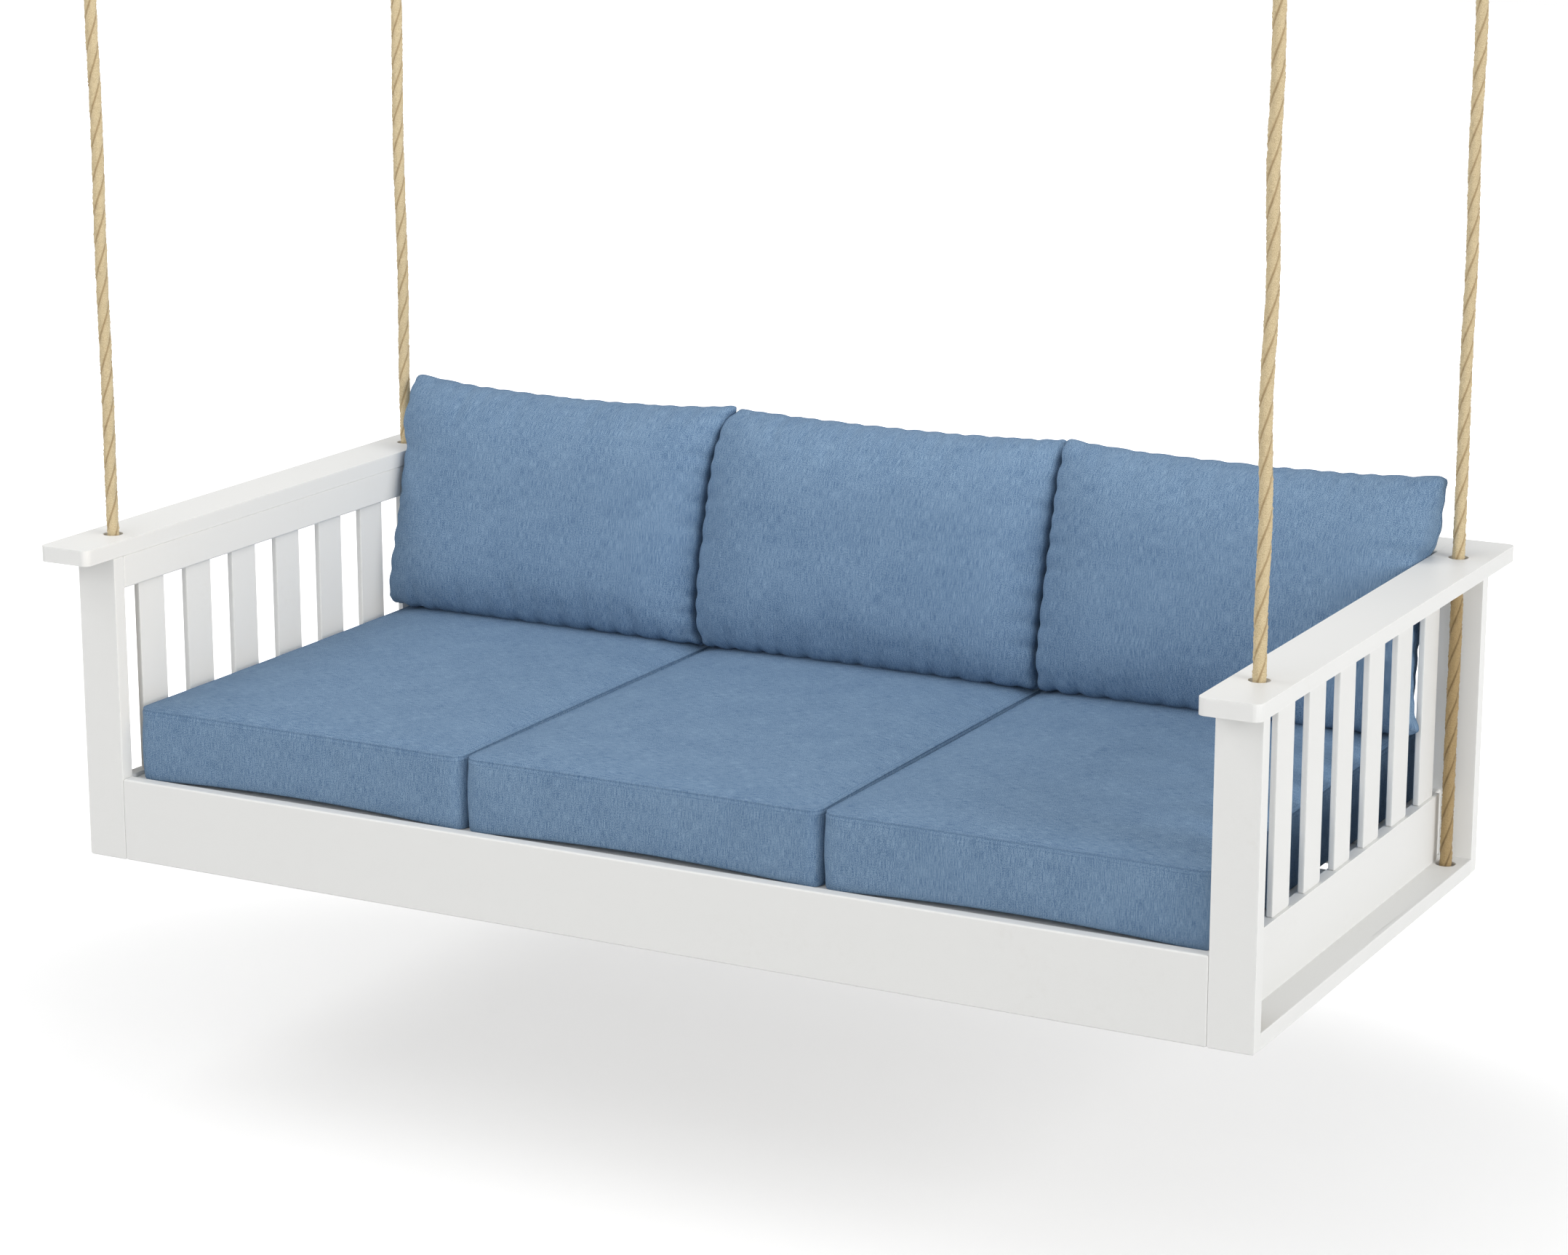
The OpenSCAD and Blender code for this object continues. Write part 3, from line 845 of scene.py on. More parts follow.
@dataclass
class LaidRope:
    """Three-strand rope swept along a path that nowhere runs along X."""

    diameter: float = 19.0
    lay: float = 150.0
    strands: int = 3
    groove: float = 1.35
    crown_share: float = 0.22  # of the groove's depth, how much a strand's round crown takes
    around: int = 36
    step: float = 2.5
    fuzz: float = 0.42
    end_groove: float = 0.6
    end_radius: float = 9.0

    def section(self, angle: np.ndarray) -> tuple[np.ndarray, np.ndarray]:
        """The rope's radius and how deep in a groove it is, at some angles round it.

        Args:
            angle: Angles round the rope, in radians, from the middle of a strand.

        Returns:
            Radius in millimetres, and 0 on a crown to 1 in a groove.
        """
        across = np.abs((angle * self.strands / (2 * np.pi) + 0.5) % 1.0 - 0.5) * 2
        depth = self.crown_share * across**2 + (1 - self.crown_share) * across**5
        return self.diameter / 2 - self.groove * depth, depth

    def sweep(
        self, name: str, centres: np.ndarray, turn: float, seed: int,
        swell: Callable[[np.ndarray], np.ndarray] | None = None,
    ) -> bpy.types.Object:
        """Sweeps the rope along a path.

        Args:
            name: The piece's name.
            centres: The path's points, in seat-frame millimetres.
            turn: The angle of the first strand at the path's start, in radians.
            seed: The number that the fuzz starts from.
            swell: Gives a factor on the radius for the share of the path gone.

        Returns:
            The rope, closed at both ends.
        """
        tangents = np.gradient(centres, axis=0)
        tangents /= np.linalg.norm(tangents, axis=1)[:, None]
        first = np.tile([1.0, 0.0, 0.0], (len(centres), 1))
        second = np.cross(tangents, first)
        gone = np.concatenate([[0.0], np.cumsum(np.linalg.norm(np.diff(centres, axis=0), axis=1))])
        angle = np.linspace(0, 2 * np.pi, self.around, endpoint=False)
        phase = angle[None, :] - turn - 2 * np.pi * gone[:, None] / self.lay
        radius, depth = self.section(phase)
        if swell is not None:
            radius = radius * swell(gone / gone[-1])[:, None]
        radius = radius + np.random.default_rng(seed).normal(0, self.fuzz, radius.shape)
        points = (
            centres[:, None, :]
            + (radius * np.cos(angle))[:, :, None] * first[:, None, :]
            + (radius * np.sin(angle))[:, :, None] * second[:, None, :]
        ).reshape(-1, 3)
        rows, n = len(centres), self.around
        faces = [
            (j * n + i, j * n + (i + 1) % n, (j + 1) * n + (i + 1) % n, (j + 1) * n + i)
            for j in range(rows - 1) for i in range(n)
        ]
        ends = np.array([centres[0], centres[-1]])
        faces += [(rows * n, (i + 1) % n, i) for i in range(n)]
        faces += [(rows * n + 1, (rows - 1) * n + i, (rows - 1) * n + (i + 1) % n) for i in range(n)]
        rope = mesh_piece(name, place(np.concatenate([points, ends])), faces)
        store(rope.data, "groove", np.concatenate([depth.ravel(), [self.end_groove] * 2]))
        self._lay_uv(rope.data, gone, rows)
        return rope

    def _lay_uv(self, mesh: bpy.types.Mesh, gone: np.ndarray, rows: int) -> None:
        """Gives the rope a UV map in metres that goes round it and along it."""
        n, r = self.around, self.end_radius
        girth = math.pi * self.diameter
        flat = []
        for j in range(rows - 1):
            for i in range(n):
                left, right = i * girth / n, (i + 1) * girth / n
                flat += [left, gone[j], right, gone[j], right, gone[j + 1], left, gone[j + 1]]
        for _ in range(2):
            for i in range(n):
                a, b = 2 * np.pi * i / n, 2 * np.pi * (i + 1) / n
                flat += [0, 0, r * math.cos(b), r * math.sin(b), r * math.cos(a), r * math.sin(a)]
        uv = mesh.uv_layers.new(name="lay")
        uv.data.foreach_set("uv", np.array(flat, np.float32) * MM)


@dataclass
class Ropes:
    """The four ropes, each an upper and a lower stretch, and the spliced eyes over them."""

    rope: LaidRope = field(default_factory=LaidRope)
    across: float = 965.0
    front: float = -424.0
    back: float = 414.0
    foot: float = 1.5
    lower_top: float = 511.4
    upper_foot: float = 512.0
    wobble: float = 1.6
    bolt: float = 1585.0
    eye_radius: float = 24.8
    eye_turn: float = 0.4
    eye_seed: int = 7
    leg_meet: float = 62.0
    splice_foot: float = 1454.9
    splice_top: float = 1534.0
    splice_swell: float = 1.32
    splice_tucks: int = 5
    splice_seed: int = 9
    into_splice: float = 4.0  # how far the upper stretch runs on inside its splice

    def at(self, side: Side, row: Row) -> np.ndarray:
        """The foot of a rope's axis in the seat frame."""
        y = self.front if row is Row.FRONT else self.back
        return np.array([side.value * self.across, y, 0.0])

    def _line(self, side: Side, row: Row, low: float, high: float, seed: int) -> np.ndarray:
        """The points of a nearly straight stretch, which strays a little between its ends.

        Args:
            side: The rope's side.
            row: The rope's pair.
            low: The height of its lower end.
            high: The height of its upper end.
            seed: The number that its straying starts from.

        Returns:
            Points from the lower end up, in millimetres.
        """
        count = int((high - low) / self.rope.step) + 1
        z = np.linspace(low, high, count)
        pick = random.Random(seed)
        gone = (z - low) / (high - low)
        window = np.minimum(1.0, 6 * np.minimum(gone, 1 - gone)) ** 2

        def wave() -> np.ndarray:
            """One slow wave of the straying: its height, its length and where it starts."""
            height, length, start = pick.uniform(0.3, 0.6), pick.uniform(45, 95), pick.uniform(0, 6)
            return self.wobble * height * np.sin(z / length + start)

        x, y = ((wave() + wave()) * window for _ in range(2))
        return self.at(side, row) + np.stack([x, y, z], axis=1)

    def stretches(self) -> None:
        plain_rope_finish = RopeFibre().material("rope_fibre", "lay", "groove")
        # The lower stretches, under the arms, get a darker copy of the fibre's colours: painted shade
        shaded_rope_finish = RopeFibre(srgb(177, 153, 111), srgb(100, 79, 50), srgb(140, 116, 79)).material(
            "painted_shade_rope_fibre", "lay", "groove")
        for number, (side, row) in enumerate((s, r) for r in Row for s in Side):
            corner = f"{row.value}_{side.word}"
            for part, low, high, body, finish in (
                ("upper", self.upper_foot, self.splice_foot + self.into_splice, row.body, plain_rope_finish),
                ("lower", self.foot, self.lower_top, "seat", shaded_rope_finish),
            ):
                line = self._line(side, row, low, high, 10 * number + len(part + body))
                turn = 2 * math.pi * (low - self.foot) / self.rope.lay + number
                name = f"laid_rope_{part}_{corner}"
                piece = dress(self.rope.sweep(name, line, turn, number), finish)
                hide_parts(f"rope_{part}_{corner}")
                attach(piece, body)

    def eyes(self) -> None:
        """Makes the eye and the splice at the top of each rope, a pair to a piece."""
        finish = RopeFibre().material("spliced_fibre", "lay", "groove")
        for row in Row:
            parts = []
            for side in Side:
                parts.append(self._eye(side, row))
                parts.append(self._splice(side, row))
            choose(*parts)
            bpy.ops.object.join()
            piece = dress(bpy.context.object, finish)
            piece.name = piece.data.name = f"spliced_eyes_{row.value}"
            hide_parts(f"rope_eyes_{row.value}")
            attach(piece, row.body)
            log.info("%s: eyes round their thimbles, with splices", piece.name)

    def _eye(self, side: Side, row: Row) -> bpy.types.Object:
        """One rope eye: two legs that part from the splice and go round the thimble."""
        half = math.asin(self.eye_radius / self.leg_meet)
        start = np.array([0.0, self.bolt - self.leg_meet])
        touch = self.eye_radius * np.array([math.cos(half), -math.sin(half)]) + [0.0, self.bolt]
        leg = np.linspace(0, 1, 22, endpoint=False)[:, None] * (touch - start) + start
        turn = np.linspace(-half, math.pi + half, 66)
        arc = np.stack([self.eye_radius * np.cos(turn), self.bolt + self.eye_radius * np.sin(turn)], 1)
        back = (leg * [-1.0, 1.0])[::-1]
        flat = np.concatenate([leg, arc, back])
        centres = self.at(side, row) + np.concatenate([np.zeros((len(flat), 1)), flat], axis=1)
        name = f"eye_{row.value}_{side.word}"
        return self.rope.sweep(name, centres, self.eye_turn, self.eye_seed)

    def _splice(self, side: Side, row: Row) -> bpy.types.Object:
        """The tucked splice: the rope thickened by the strands woven back into it."""
        z = np.arange(self.splice_foot, self.splice_top, self.rope.step)
        centres = self.at(side, row) + np.stack([0 * z, 0 * z, z], axis=1)

        def bulge(gone: np.ndarray) -> np.ndarray:
            """The splice's girth against the rope's: swollen, and waved by its tucks."""
            body = (self.splice_swell - 1) * np.minimum(1, 1.6 * gone) * (1 - 0.25 * gone)
            tucks = 0.045 * np.sin(gone * self.splice_tucks * 2 * np.pi) * np.minimum(1, 3 * gone)
            return 1 + body + tucks

        woven = LaidRope(lay=70.0, strands=6, groove=1.1, fuzz=0.25)
        name = f"splice_{row.value}_{side.word}"
        return woven.sweep(name, centres, 0.0, self.splice_seed, bulge)


# ---------------------------------------------------------------------------
# Cushions
# ---------------------------------------------------------------------------


class Panel(Enum):
    """A panel of a cushion's cover."""

    FACE = "face"
    UNDER = "under"
    WALL = "wall"


@dataclass
class Shell:
    """A closed cover: two whole panels of a grid of places and a wall of rings between."""

    across: np.ndarray
    along: np.ndarray
    rings: int

    def __post_init__(self) -> None:
        """Numbers the points round the rim, going round once."""
        m, n = len(self.across), len(self.along)
        walk = [(i, 0) for i in range(m - 1)] + [(m - 1, j) for j in range(n - 1)]
        walk += [(i, n - 1) for i in range(m - 1, 0, -1)] + [(0, j) for j in range(n - 1, 0, -1)]
        self.rim = np.array(walk)

    @property
    def panel_size(self) -> int:
        """How many points a whole panel has."""
        return len(self.across) * len(self.along)

    def faces(self) -> tuple[list[tuple[int, ...]], list[Panel]]:
        """The cover's faces and the panel that each belongs to.

        Returns:
            Faces as point numbers, and their panels. Points come in this order: the
            under panel, the rings from it up, and the face panel.
        """
        m, n, size, count = len(self.across), len(self.along), self.panel_size, len(self.rim)
        top = size + self.rings * count
        made, panels = [], []
        for j in range(n - 1):
            for i in range(m - 1):
                a = j * m + i
                made.append((a, a + m, a + m + 1, a + 1))
                made.append((top + a, top + a + 1, top + a + m + 1, top + a + m))
                panels += [Panel.UNDER, Panel.FACE]
        flat = self.rim[:, 1] * m + self.rim[:, 0]
        loops = [flat] + [size + k * count + np.arange(count) for k in range(self.rings)] + [top + flat]
        for low, high in zip(loops, loops[1:]):
            for k in range(count):
                made.append((low[k], low[(k + 1) % count], high[(k + 1) % count], high[k]))
                panels.append(Panel.WALL)
        return [tuple(int(i) for i in f) for f in made], panels


def graded(half: float, edge: Sequence[float], step: float) -> np.ndarray:
    """Places from -half to half that are closer near both ends.

    Args:
        half: Half of the span.
        edge: Distances of the first places from an end.
        step: The spacing further in.

    Returns:
        The places, in order.
    """
    inner = half - edge[-1]
    count = max(2, round(2 * inner / step))
    middle = np.linspace(-inner, inner, count + 1)
    return np.concatenate([-half + np.array(edge[:-1]), middle, (half - np.array(edge[:-1]))[::-1]])


def rounded(
    x: np.ndarray, y: np.ndarray, half_x: float, half_y: float, radius: float | np.ndarray,
) -> tuple[np.ndarray, np.ndarray]:
    """Rounds the corners of a rectangle's grid and leaves its sides as they are.

    Args:
        x: Places across.
        y: Places along.
        half_x: Half of the width.
        half_y: Half of the depth.
        radius: The corners' radius.

    Returns:
        The new places across and along.
    """
    s = np.clip((np.abs(x) - half_x + radius) / radius, 0, None)
    t = np.clip((np.abs(y) - half_y + radius) / radius, 0, None)
    new_x = np.abs(x) + radius * s * (np.sqrt(1 - np.clip(t, 0, 1) ** 2 / 2) - 1)
    new_y = np.abs(y) + radius * t * (np.sqrt(1 - np.clip(s, 0, 1) ** 2 / 2) - 1)
    return np.sign(x) * new_x, np.sign(y) * new_y


def arch(share: np.ndarray, flatness: float, steepness: float) -> np.ndarray:
    """An arch over a span: 1 in its middle and 0 at its ends.

    Args:
        share: Places over the span, whose ends are -1 and 1.
        flatness: How far its top stays flat.
        steepness: How it comes down: the lower the number, the steeper.

    Returns:
        The arch's height at each place.
    """
    return (1 - np.abs(share) ** flatness) ** steepness


@dataclass
class Tucks:
    """Gathers along one straight seam: where they are and how strong each is."""

    seed: int
    length: float
    shortest: float = 26.0
    longest: float = 48.0

    def __post_init__(self) -> None:
        """Chooses the gathers' places."""
        pick = random.Random(self.seed)
        spots = [-self.length / 2 - pick.uniform(0, 30)]
        while spots[-1] < self.length / 2 + 40:
            spots.append(spots[-1] + pick.uniform(self.shortest, self.longest))
        self.spots = np.array(spots)
        self.power = np.array([pick.uniform(0.45, 1.0) for _ in spots])

    def pinch(self, s: np.ndarray, width: float) -> np.ndarray:
        """How much the seam is pinched at a place, from 0 to 1.

        Args:
            s: Places along the seam.
            width: How wide a gather is.

        Returns:
            The pinch there.
        """
        gap = np.abs(s[..., None] - self.spots)
        return (self.power * np.exp(-((gap / width) ** 2))).max(axis=-1)


@dataclass
class Cover:
    """A cushion's cover and what its filling may do to it.

    Held says which points the seams hold, reach how far each point may move in millimetres,
    and settle keeps the filled cover clear of what lies round it.
    """

    piece: bpy.types.Object
    held: np.ndarray
    reach: np.ndarray
    settle: Callable[[np.ndarray], np.ndarray]


@dataclass(frozen=True)
class Inflation:
    """Fills the cushions by a cloth simulation under pressure, all in one run."""

    frames: int = 20
    pressure: float = 4.0
    slack: float = -0.012

    def add(self, cover: Cover) -> None:
        """Puts the simulation on a cover.

        Args:
            cover: The cover.
        """
        group = cover.piece.vertex_groups.new(name="sewn")
        group.add(np.flatnonzero(cover.held).tolist(), 1.0, "REPLACE")
        cloth = cover.piece.modifiers.new("fill", "CLOTH")
        s = cloth.settings
        s.quality = 6
        s.mass = 0.25
        s.air_damping = 4.0
        s.tension_stiffness = 22.0
        s.compression_stiffness = 18.0
        s.shear_stiffness = 6.0
        s.bending_stiffness = 0.35
        s.use_pressure = True
        s.uniform_pressure_force = self.pressure
        s.vertex_group_mass = "sewn"
        s.pin_stiffness = 1.0
        s.shrink_min = self.slack
        s.effector_weights.gravity = 0.0
        cloth.collision_settings.use_collision = False
        cloth.point_cache.frame_start = 1
        cloth.point_cache.frame_end = self.frames

    def run(self, covers: Sequence[Cover]) -> None:
        """Steps the simulation, caps each point's move and takes the simulation off again.

        Args:
            covers: The covers in it.
        """
        scene = bpy.context.scene
        starts = [points_of(cover.piece) for cover in covers]
        for number in range(1, self.frames + 1):
            scene.frame_set(number)
        graph = bpy.context.evaluated_depsgraph_get()
        for cover, start in zip(covers, starts):
            move = points_of(cover.piece.evaluated_get(graph)) - start
            far = np.linalg.norm(move, axis=1)
            limit = cover.reach * MM
            keep = limit / np.maximum(limit + far, 1e-9)
            ends = cover.settle(start + move * keep[:, None])
            most = np.linalg.norm(ends - start, axis=1).max() / MM
            cover.piece.modifiers.clear()
            cover.piece.data.vertices.foreach_set("co", ends.ravel().astype(np.float32))
            cover.piece.data.update()
            log.info("%s: filled, at most %.1f mm", cover.piece.name, most)
        scene.frame_set(1)


def points_of(obj: bpy.types.Object) -> np.ndarray:
    """The places of an object's points."""
    flat = np.zeros(len(obj.data.vertices) * 3, np.float32)
    obj.data.vertices.foreach_get("co", flat)
    return flat.reshape(-1, 3).astype(float)


def along_cloth(points: np.ndarray) -> tuple[np.ndarray, np.ndarray]:
    """How far the cloth of a panel reaches from its first row or column to each point.

    Args:
        points: The panel's points in its plane and out of it, as rows by columns by three.

    Returns:
        For each row and column, the cloth gone since the row's start, and the whole of it.
    """
    steps = np.linalg.norm(np.diff(points, axis=1), axis=2)
    gone = np.concatenate([np.zeros((len(points), 1)), np.cumsum(steps, axis=1)], axis=1)
    return gone, np.repeat(gone[:, -1:], points.shape[1], axis=1)


def finish_cushion(
    piece: bpy.types.Object, node: str, material: bpy.types.Material,
) -> None:
    """Subdivides a cushion once, dresses it and reports it.

    Args:
        piece: The cushion.
        node: The node that it stands for.
        material: Its cloth.
    """
    choose(piece)
    smooth = piece.modifiers.new("smooth", "SUBSURF")
    smooth.levels = smooth.render_levels = 1
    bpy.ops.object.modifier_apply(modifier=smooth.name)
    piece.vertex_groups.clear()
    dress(piece, material)
    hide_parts(node)
    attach(piece, "seat")
    log.info("%s: %d faces", piece.name, len(piece.data.polygons))


def panel_uv(mesh: bpy.types.Mesh, panels: Sequence[Panel], maps: dict[Panel, np.ndarray]) -> None:
    """Gives a cover its UV map, panel by panel, in metres.

    Args:
        mesh: The cover.
        panels: The panel of each face.
        maps: For each panel, a pair of cloth coordinates for every point, in millimetres.
    """
    uv = mesh.uv_layers.new(name="cloth")
    corners = np.zeros(len(mesh.loops), np.int32)
    mesh.loops.foreach_get("vertex_index", corners)
    owner = np.zeros(len(mesh.loops), np.int32)
    for face, panel in zip(mesh.polygons, panels):
        owner[face.loop_start:face.loop_start + face.loop_total] = list(Panel).index(panel)
    flat = np.zeros((len(corners), 2))
    for number, panel in enumerate(Panel):
        chosen = owner == number
        flat[chosen] = maps[panel][corners[chosen]]
    uv.data.foreach_set("uv", (flat * MM).astype(np.float32).ravel())


@dataclass
class SeatCushions:
    """Three boxed seat cushions side by side on the deck."""

    width: float = 607.2
    depth: float = 873.9
    pitch: float = 610.8
    middle_y: float = -12.45
    foot: float = 127.3
    height: float = 115.5
    inset: float = 3.2
    crown: float = 9.0
    crown_foot: float = 0.6
    draw: float = 3.0
    corner: float = 24.0
    foot_rise: float = 8.9
    rise_fade: float = 60.0
    sewn_line: float = 0.9
    sewn_band: float = 3.0
    wall_reach: float = 2.4
    crown_reach: float = 9.0
    side_room: float = 1.75
    step: float = 13.0
    # rows of the wall: height from the foot or from the upper seam, and how far it stands out
    foot_rows: tuple[tuple[float, float], ...] = (
        (0.6, -1.6), (2.0, -0.5), (5.0, 0.1), (11.0, 0.5), (22.0, 0.9), (38.0, 1.3), (57.0, 1.5),
        (76.0, 1.4),
    )
    seam_rows: tuple[tuple[float, float], ...] = (
        (-22.0, 1.1), (-12.0, 0.7), (-6.0, 0.2), (-2.6, -0.5), (-1.3, -1.9), (0.3, -0.9), (1.5, -1.6),
    )
    free_rows: tuple[int, int] = (4, 10)  # the first and last row that the filling moves
    face_edge: tuple[float, ...] = (0.0, 2.0, 6.0, 12.0, 21.0)

    def build(self) -> list[Cover]:
        """Makes the three covers, from the left."""
        return [
            self._cover(f"boxed_cushion_{name}", (number - 1) * self.pitch, number)
            for number, name in enumerate(CUSHION_PLACES)
        ]

    def _cover(self, name: str, middle_x: float, seed: int) -> Cover:
        """Makes one cover with its slight hollows and swells.

        Args:
            name: The piece's name.
            middle_x: Where its middle is.
            seed: The number that its hollows start from.

        Returns:
            The cover, not yet filled.
        """
        inset = self.inset
        rows = [*self.foot_rows, *((self.height + z, out) for z, out in self.seam_rows)]
        hx, hy = self.width / 2 - inset, self.depth / 2 - inset
        across = graded(hx, self.face_edge, self.step)
        along = graded(hy, self.face_edge, self.step)
        shell = Shell(across, along, len(rows))
        faces, panels = shell.faces()
        gx, gy = np.meshgrid(across, along)
        gx, gy = gx.ravel(), gy.ravel()
        rim_x, rim_y = across[shell.rim[:, 0]], along[shell.rim[:, 1]]
        pick = random.Random(seed + 40)
        waves = [(pick.uniform(0, 6.28), pick.uniform(0, 6.28), pick.uniform(-1, 1)) for _ in range(4)]

        def plan(x: np.ndarray, y: np.ndarray, out: float) -> tuple[np.ndarray, np.ndarray]:
            """The place in plan of a grid point on a layer that stands out by out."""
            u, v = x / hx, y / hy
            wide, deep = hx + inset + out, hy + inset + out
            px, py = rounded(u * wide, v * deep, wide, deep, self.corner + out)
            return px - u * self.draw * (1 - v * v), py - v * self.draw * (1 - u * u)

        def swell(x: np.ndarray, y: np.ndarray) -> np.ndarray:
            """The crown's height over the seams."""
            soft = sum(
                a * np.sin(x / 95 + p) * np.sin(y / 120 + q) for p, q, a in waves) * 0.7
            return arch(x / hx, 5, 0.85) * arch(y / hy, 6, 0.85) * (self.crown + soft)

        def rise(x: np.ndarray, y: np.ndarray) -> np.ndarray:
            """How far the foot bows up off the deck, most in the middle of the front."""
            fade = np.exp(-(((y + hy) / self.rise_fade) ** 2))
            return self.foot_rise * arch(x / hx, 2, 1.2) * fade

        px, py = plan(gx, gy, -inset)
        layers = [np.stack([px, py, rise(gx, gy)], axis=1)]
        seams = [np.minimum(hx - np.abs(gx), hy - np.abs(gy))]
        arc = np.concatenate([[0.0], np.cumsum(np.hypot(np.diff(rim_x), np.diff(rim_y)))])
        wall_uv = [np.zeros((len(gx), 2))]
        wall_uv[0][shell.rim[:, 1] * len(across) + shell.rim[:, 0]] = np.stack([arc, 0 * arc], 1)
        lift = rise(rim_x, rim_y)
        for high, out in rows:
            rx, ry = plan(rim_x, rim_y, out)
            raised = high + lift * max(0.0, 1 - high / self.rise_fade)
            layers.append(np.stack([rx, ry, raised], axis=1))
            seams.append(np.full(len(rx), abs(self.height - self.sewn_line - high)))
            wall_uv.append(np.stack([arc, raised], 1))
        layers.append(np.stack([px, py, self.height + self.crown_foot + swell(gx, gy)], axis=1))
        seams.append(seams[0])
        wall_uv.append(wall_uv[0] + [0.0, self.height])
        local = np.concatenate(layers)
        points = local + [middle_x, self.middle_y, self.foot]
        piece = mesh_piece(name, place(points), faces)
        store(piece.data, "seam", np.concatenate(seams) * MM)
        # each panel of each cushion is cut from its own place in the cloth
        panel_uv(piece.data, panels, {
            Panel.FACE: local[:, [1, 0]] + 1000 * seed, Panel.UNDER: local[:, [1, 0]] + 500.0,
            Panel.WALL: np.concatenate(wall_uv) + 300.0 * seed,
        })
        size = shell.panel_size
        first, last = self.free_rows
        wall = np.repeat([not first <= k <= last for k in range(len(rows))], len(shell.rim))
        sewn = seams[0] <= self.sewn_band
        held = np.concatenate([np.ones(size, bool), wall, sewn])
        reach = np.full(len(points), self.wall_reach)
        reach[-size:] = self.crown_reach
        deck_z, half = place((0, 0, self.foot))[2], self.width / 2 + self.side_room

        def settle(moved: np.ndarray) -> np.ndarray:
            """Keeps a filled cover on the deck and clear of its neighbours."""
            moved[:, 2] = np.maximum(moved[:, 2], deck_z)
            moved[:, 0] = np.clip(moved[:, 0], (middle_x - half) * MM, (middle_x + half) * MM)
            return moved

        return Cover(piece, held, reach, settle)


@dataclass
class BackPillow:
    """One knife-edged back cushion: how its seams draw in and where its corners reach.

    A draw is how far the middle of a seam lies inside its corners, or outside if negative.
    """

    name: str
    place: int
    left_draw: float
    right_draw: float
    top_draw: float
    ears: dict[tuple[int, int], tuple[float, float, float]]


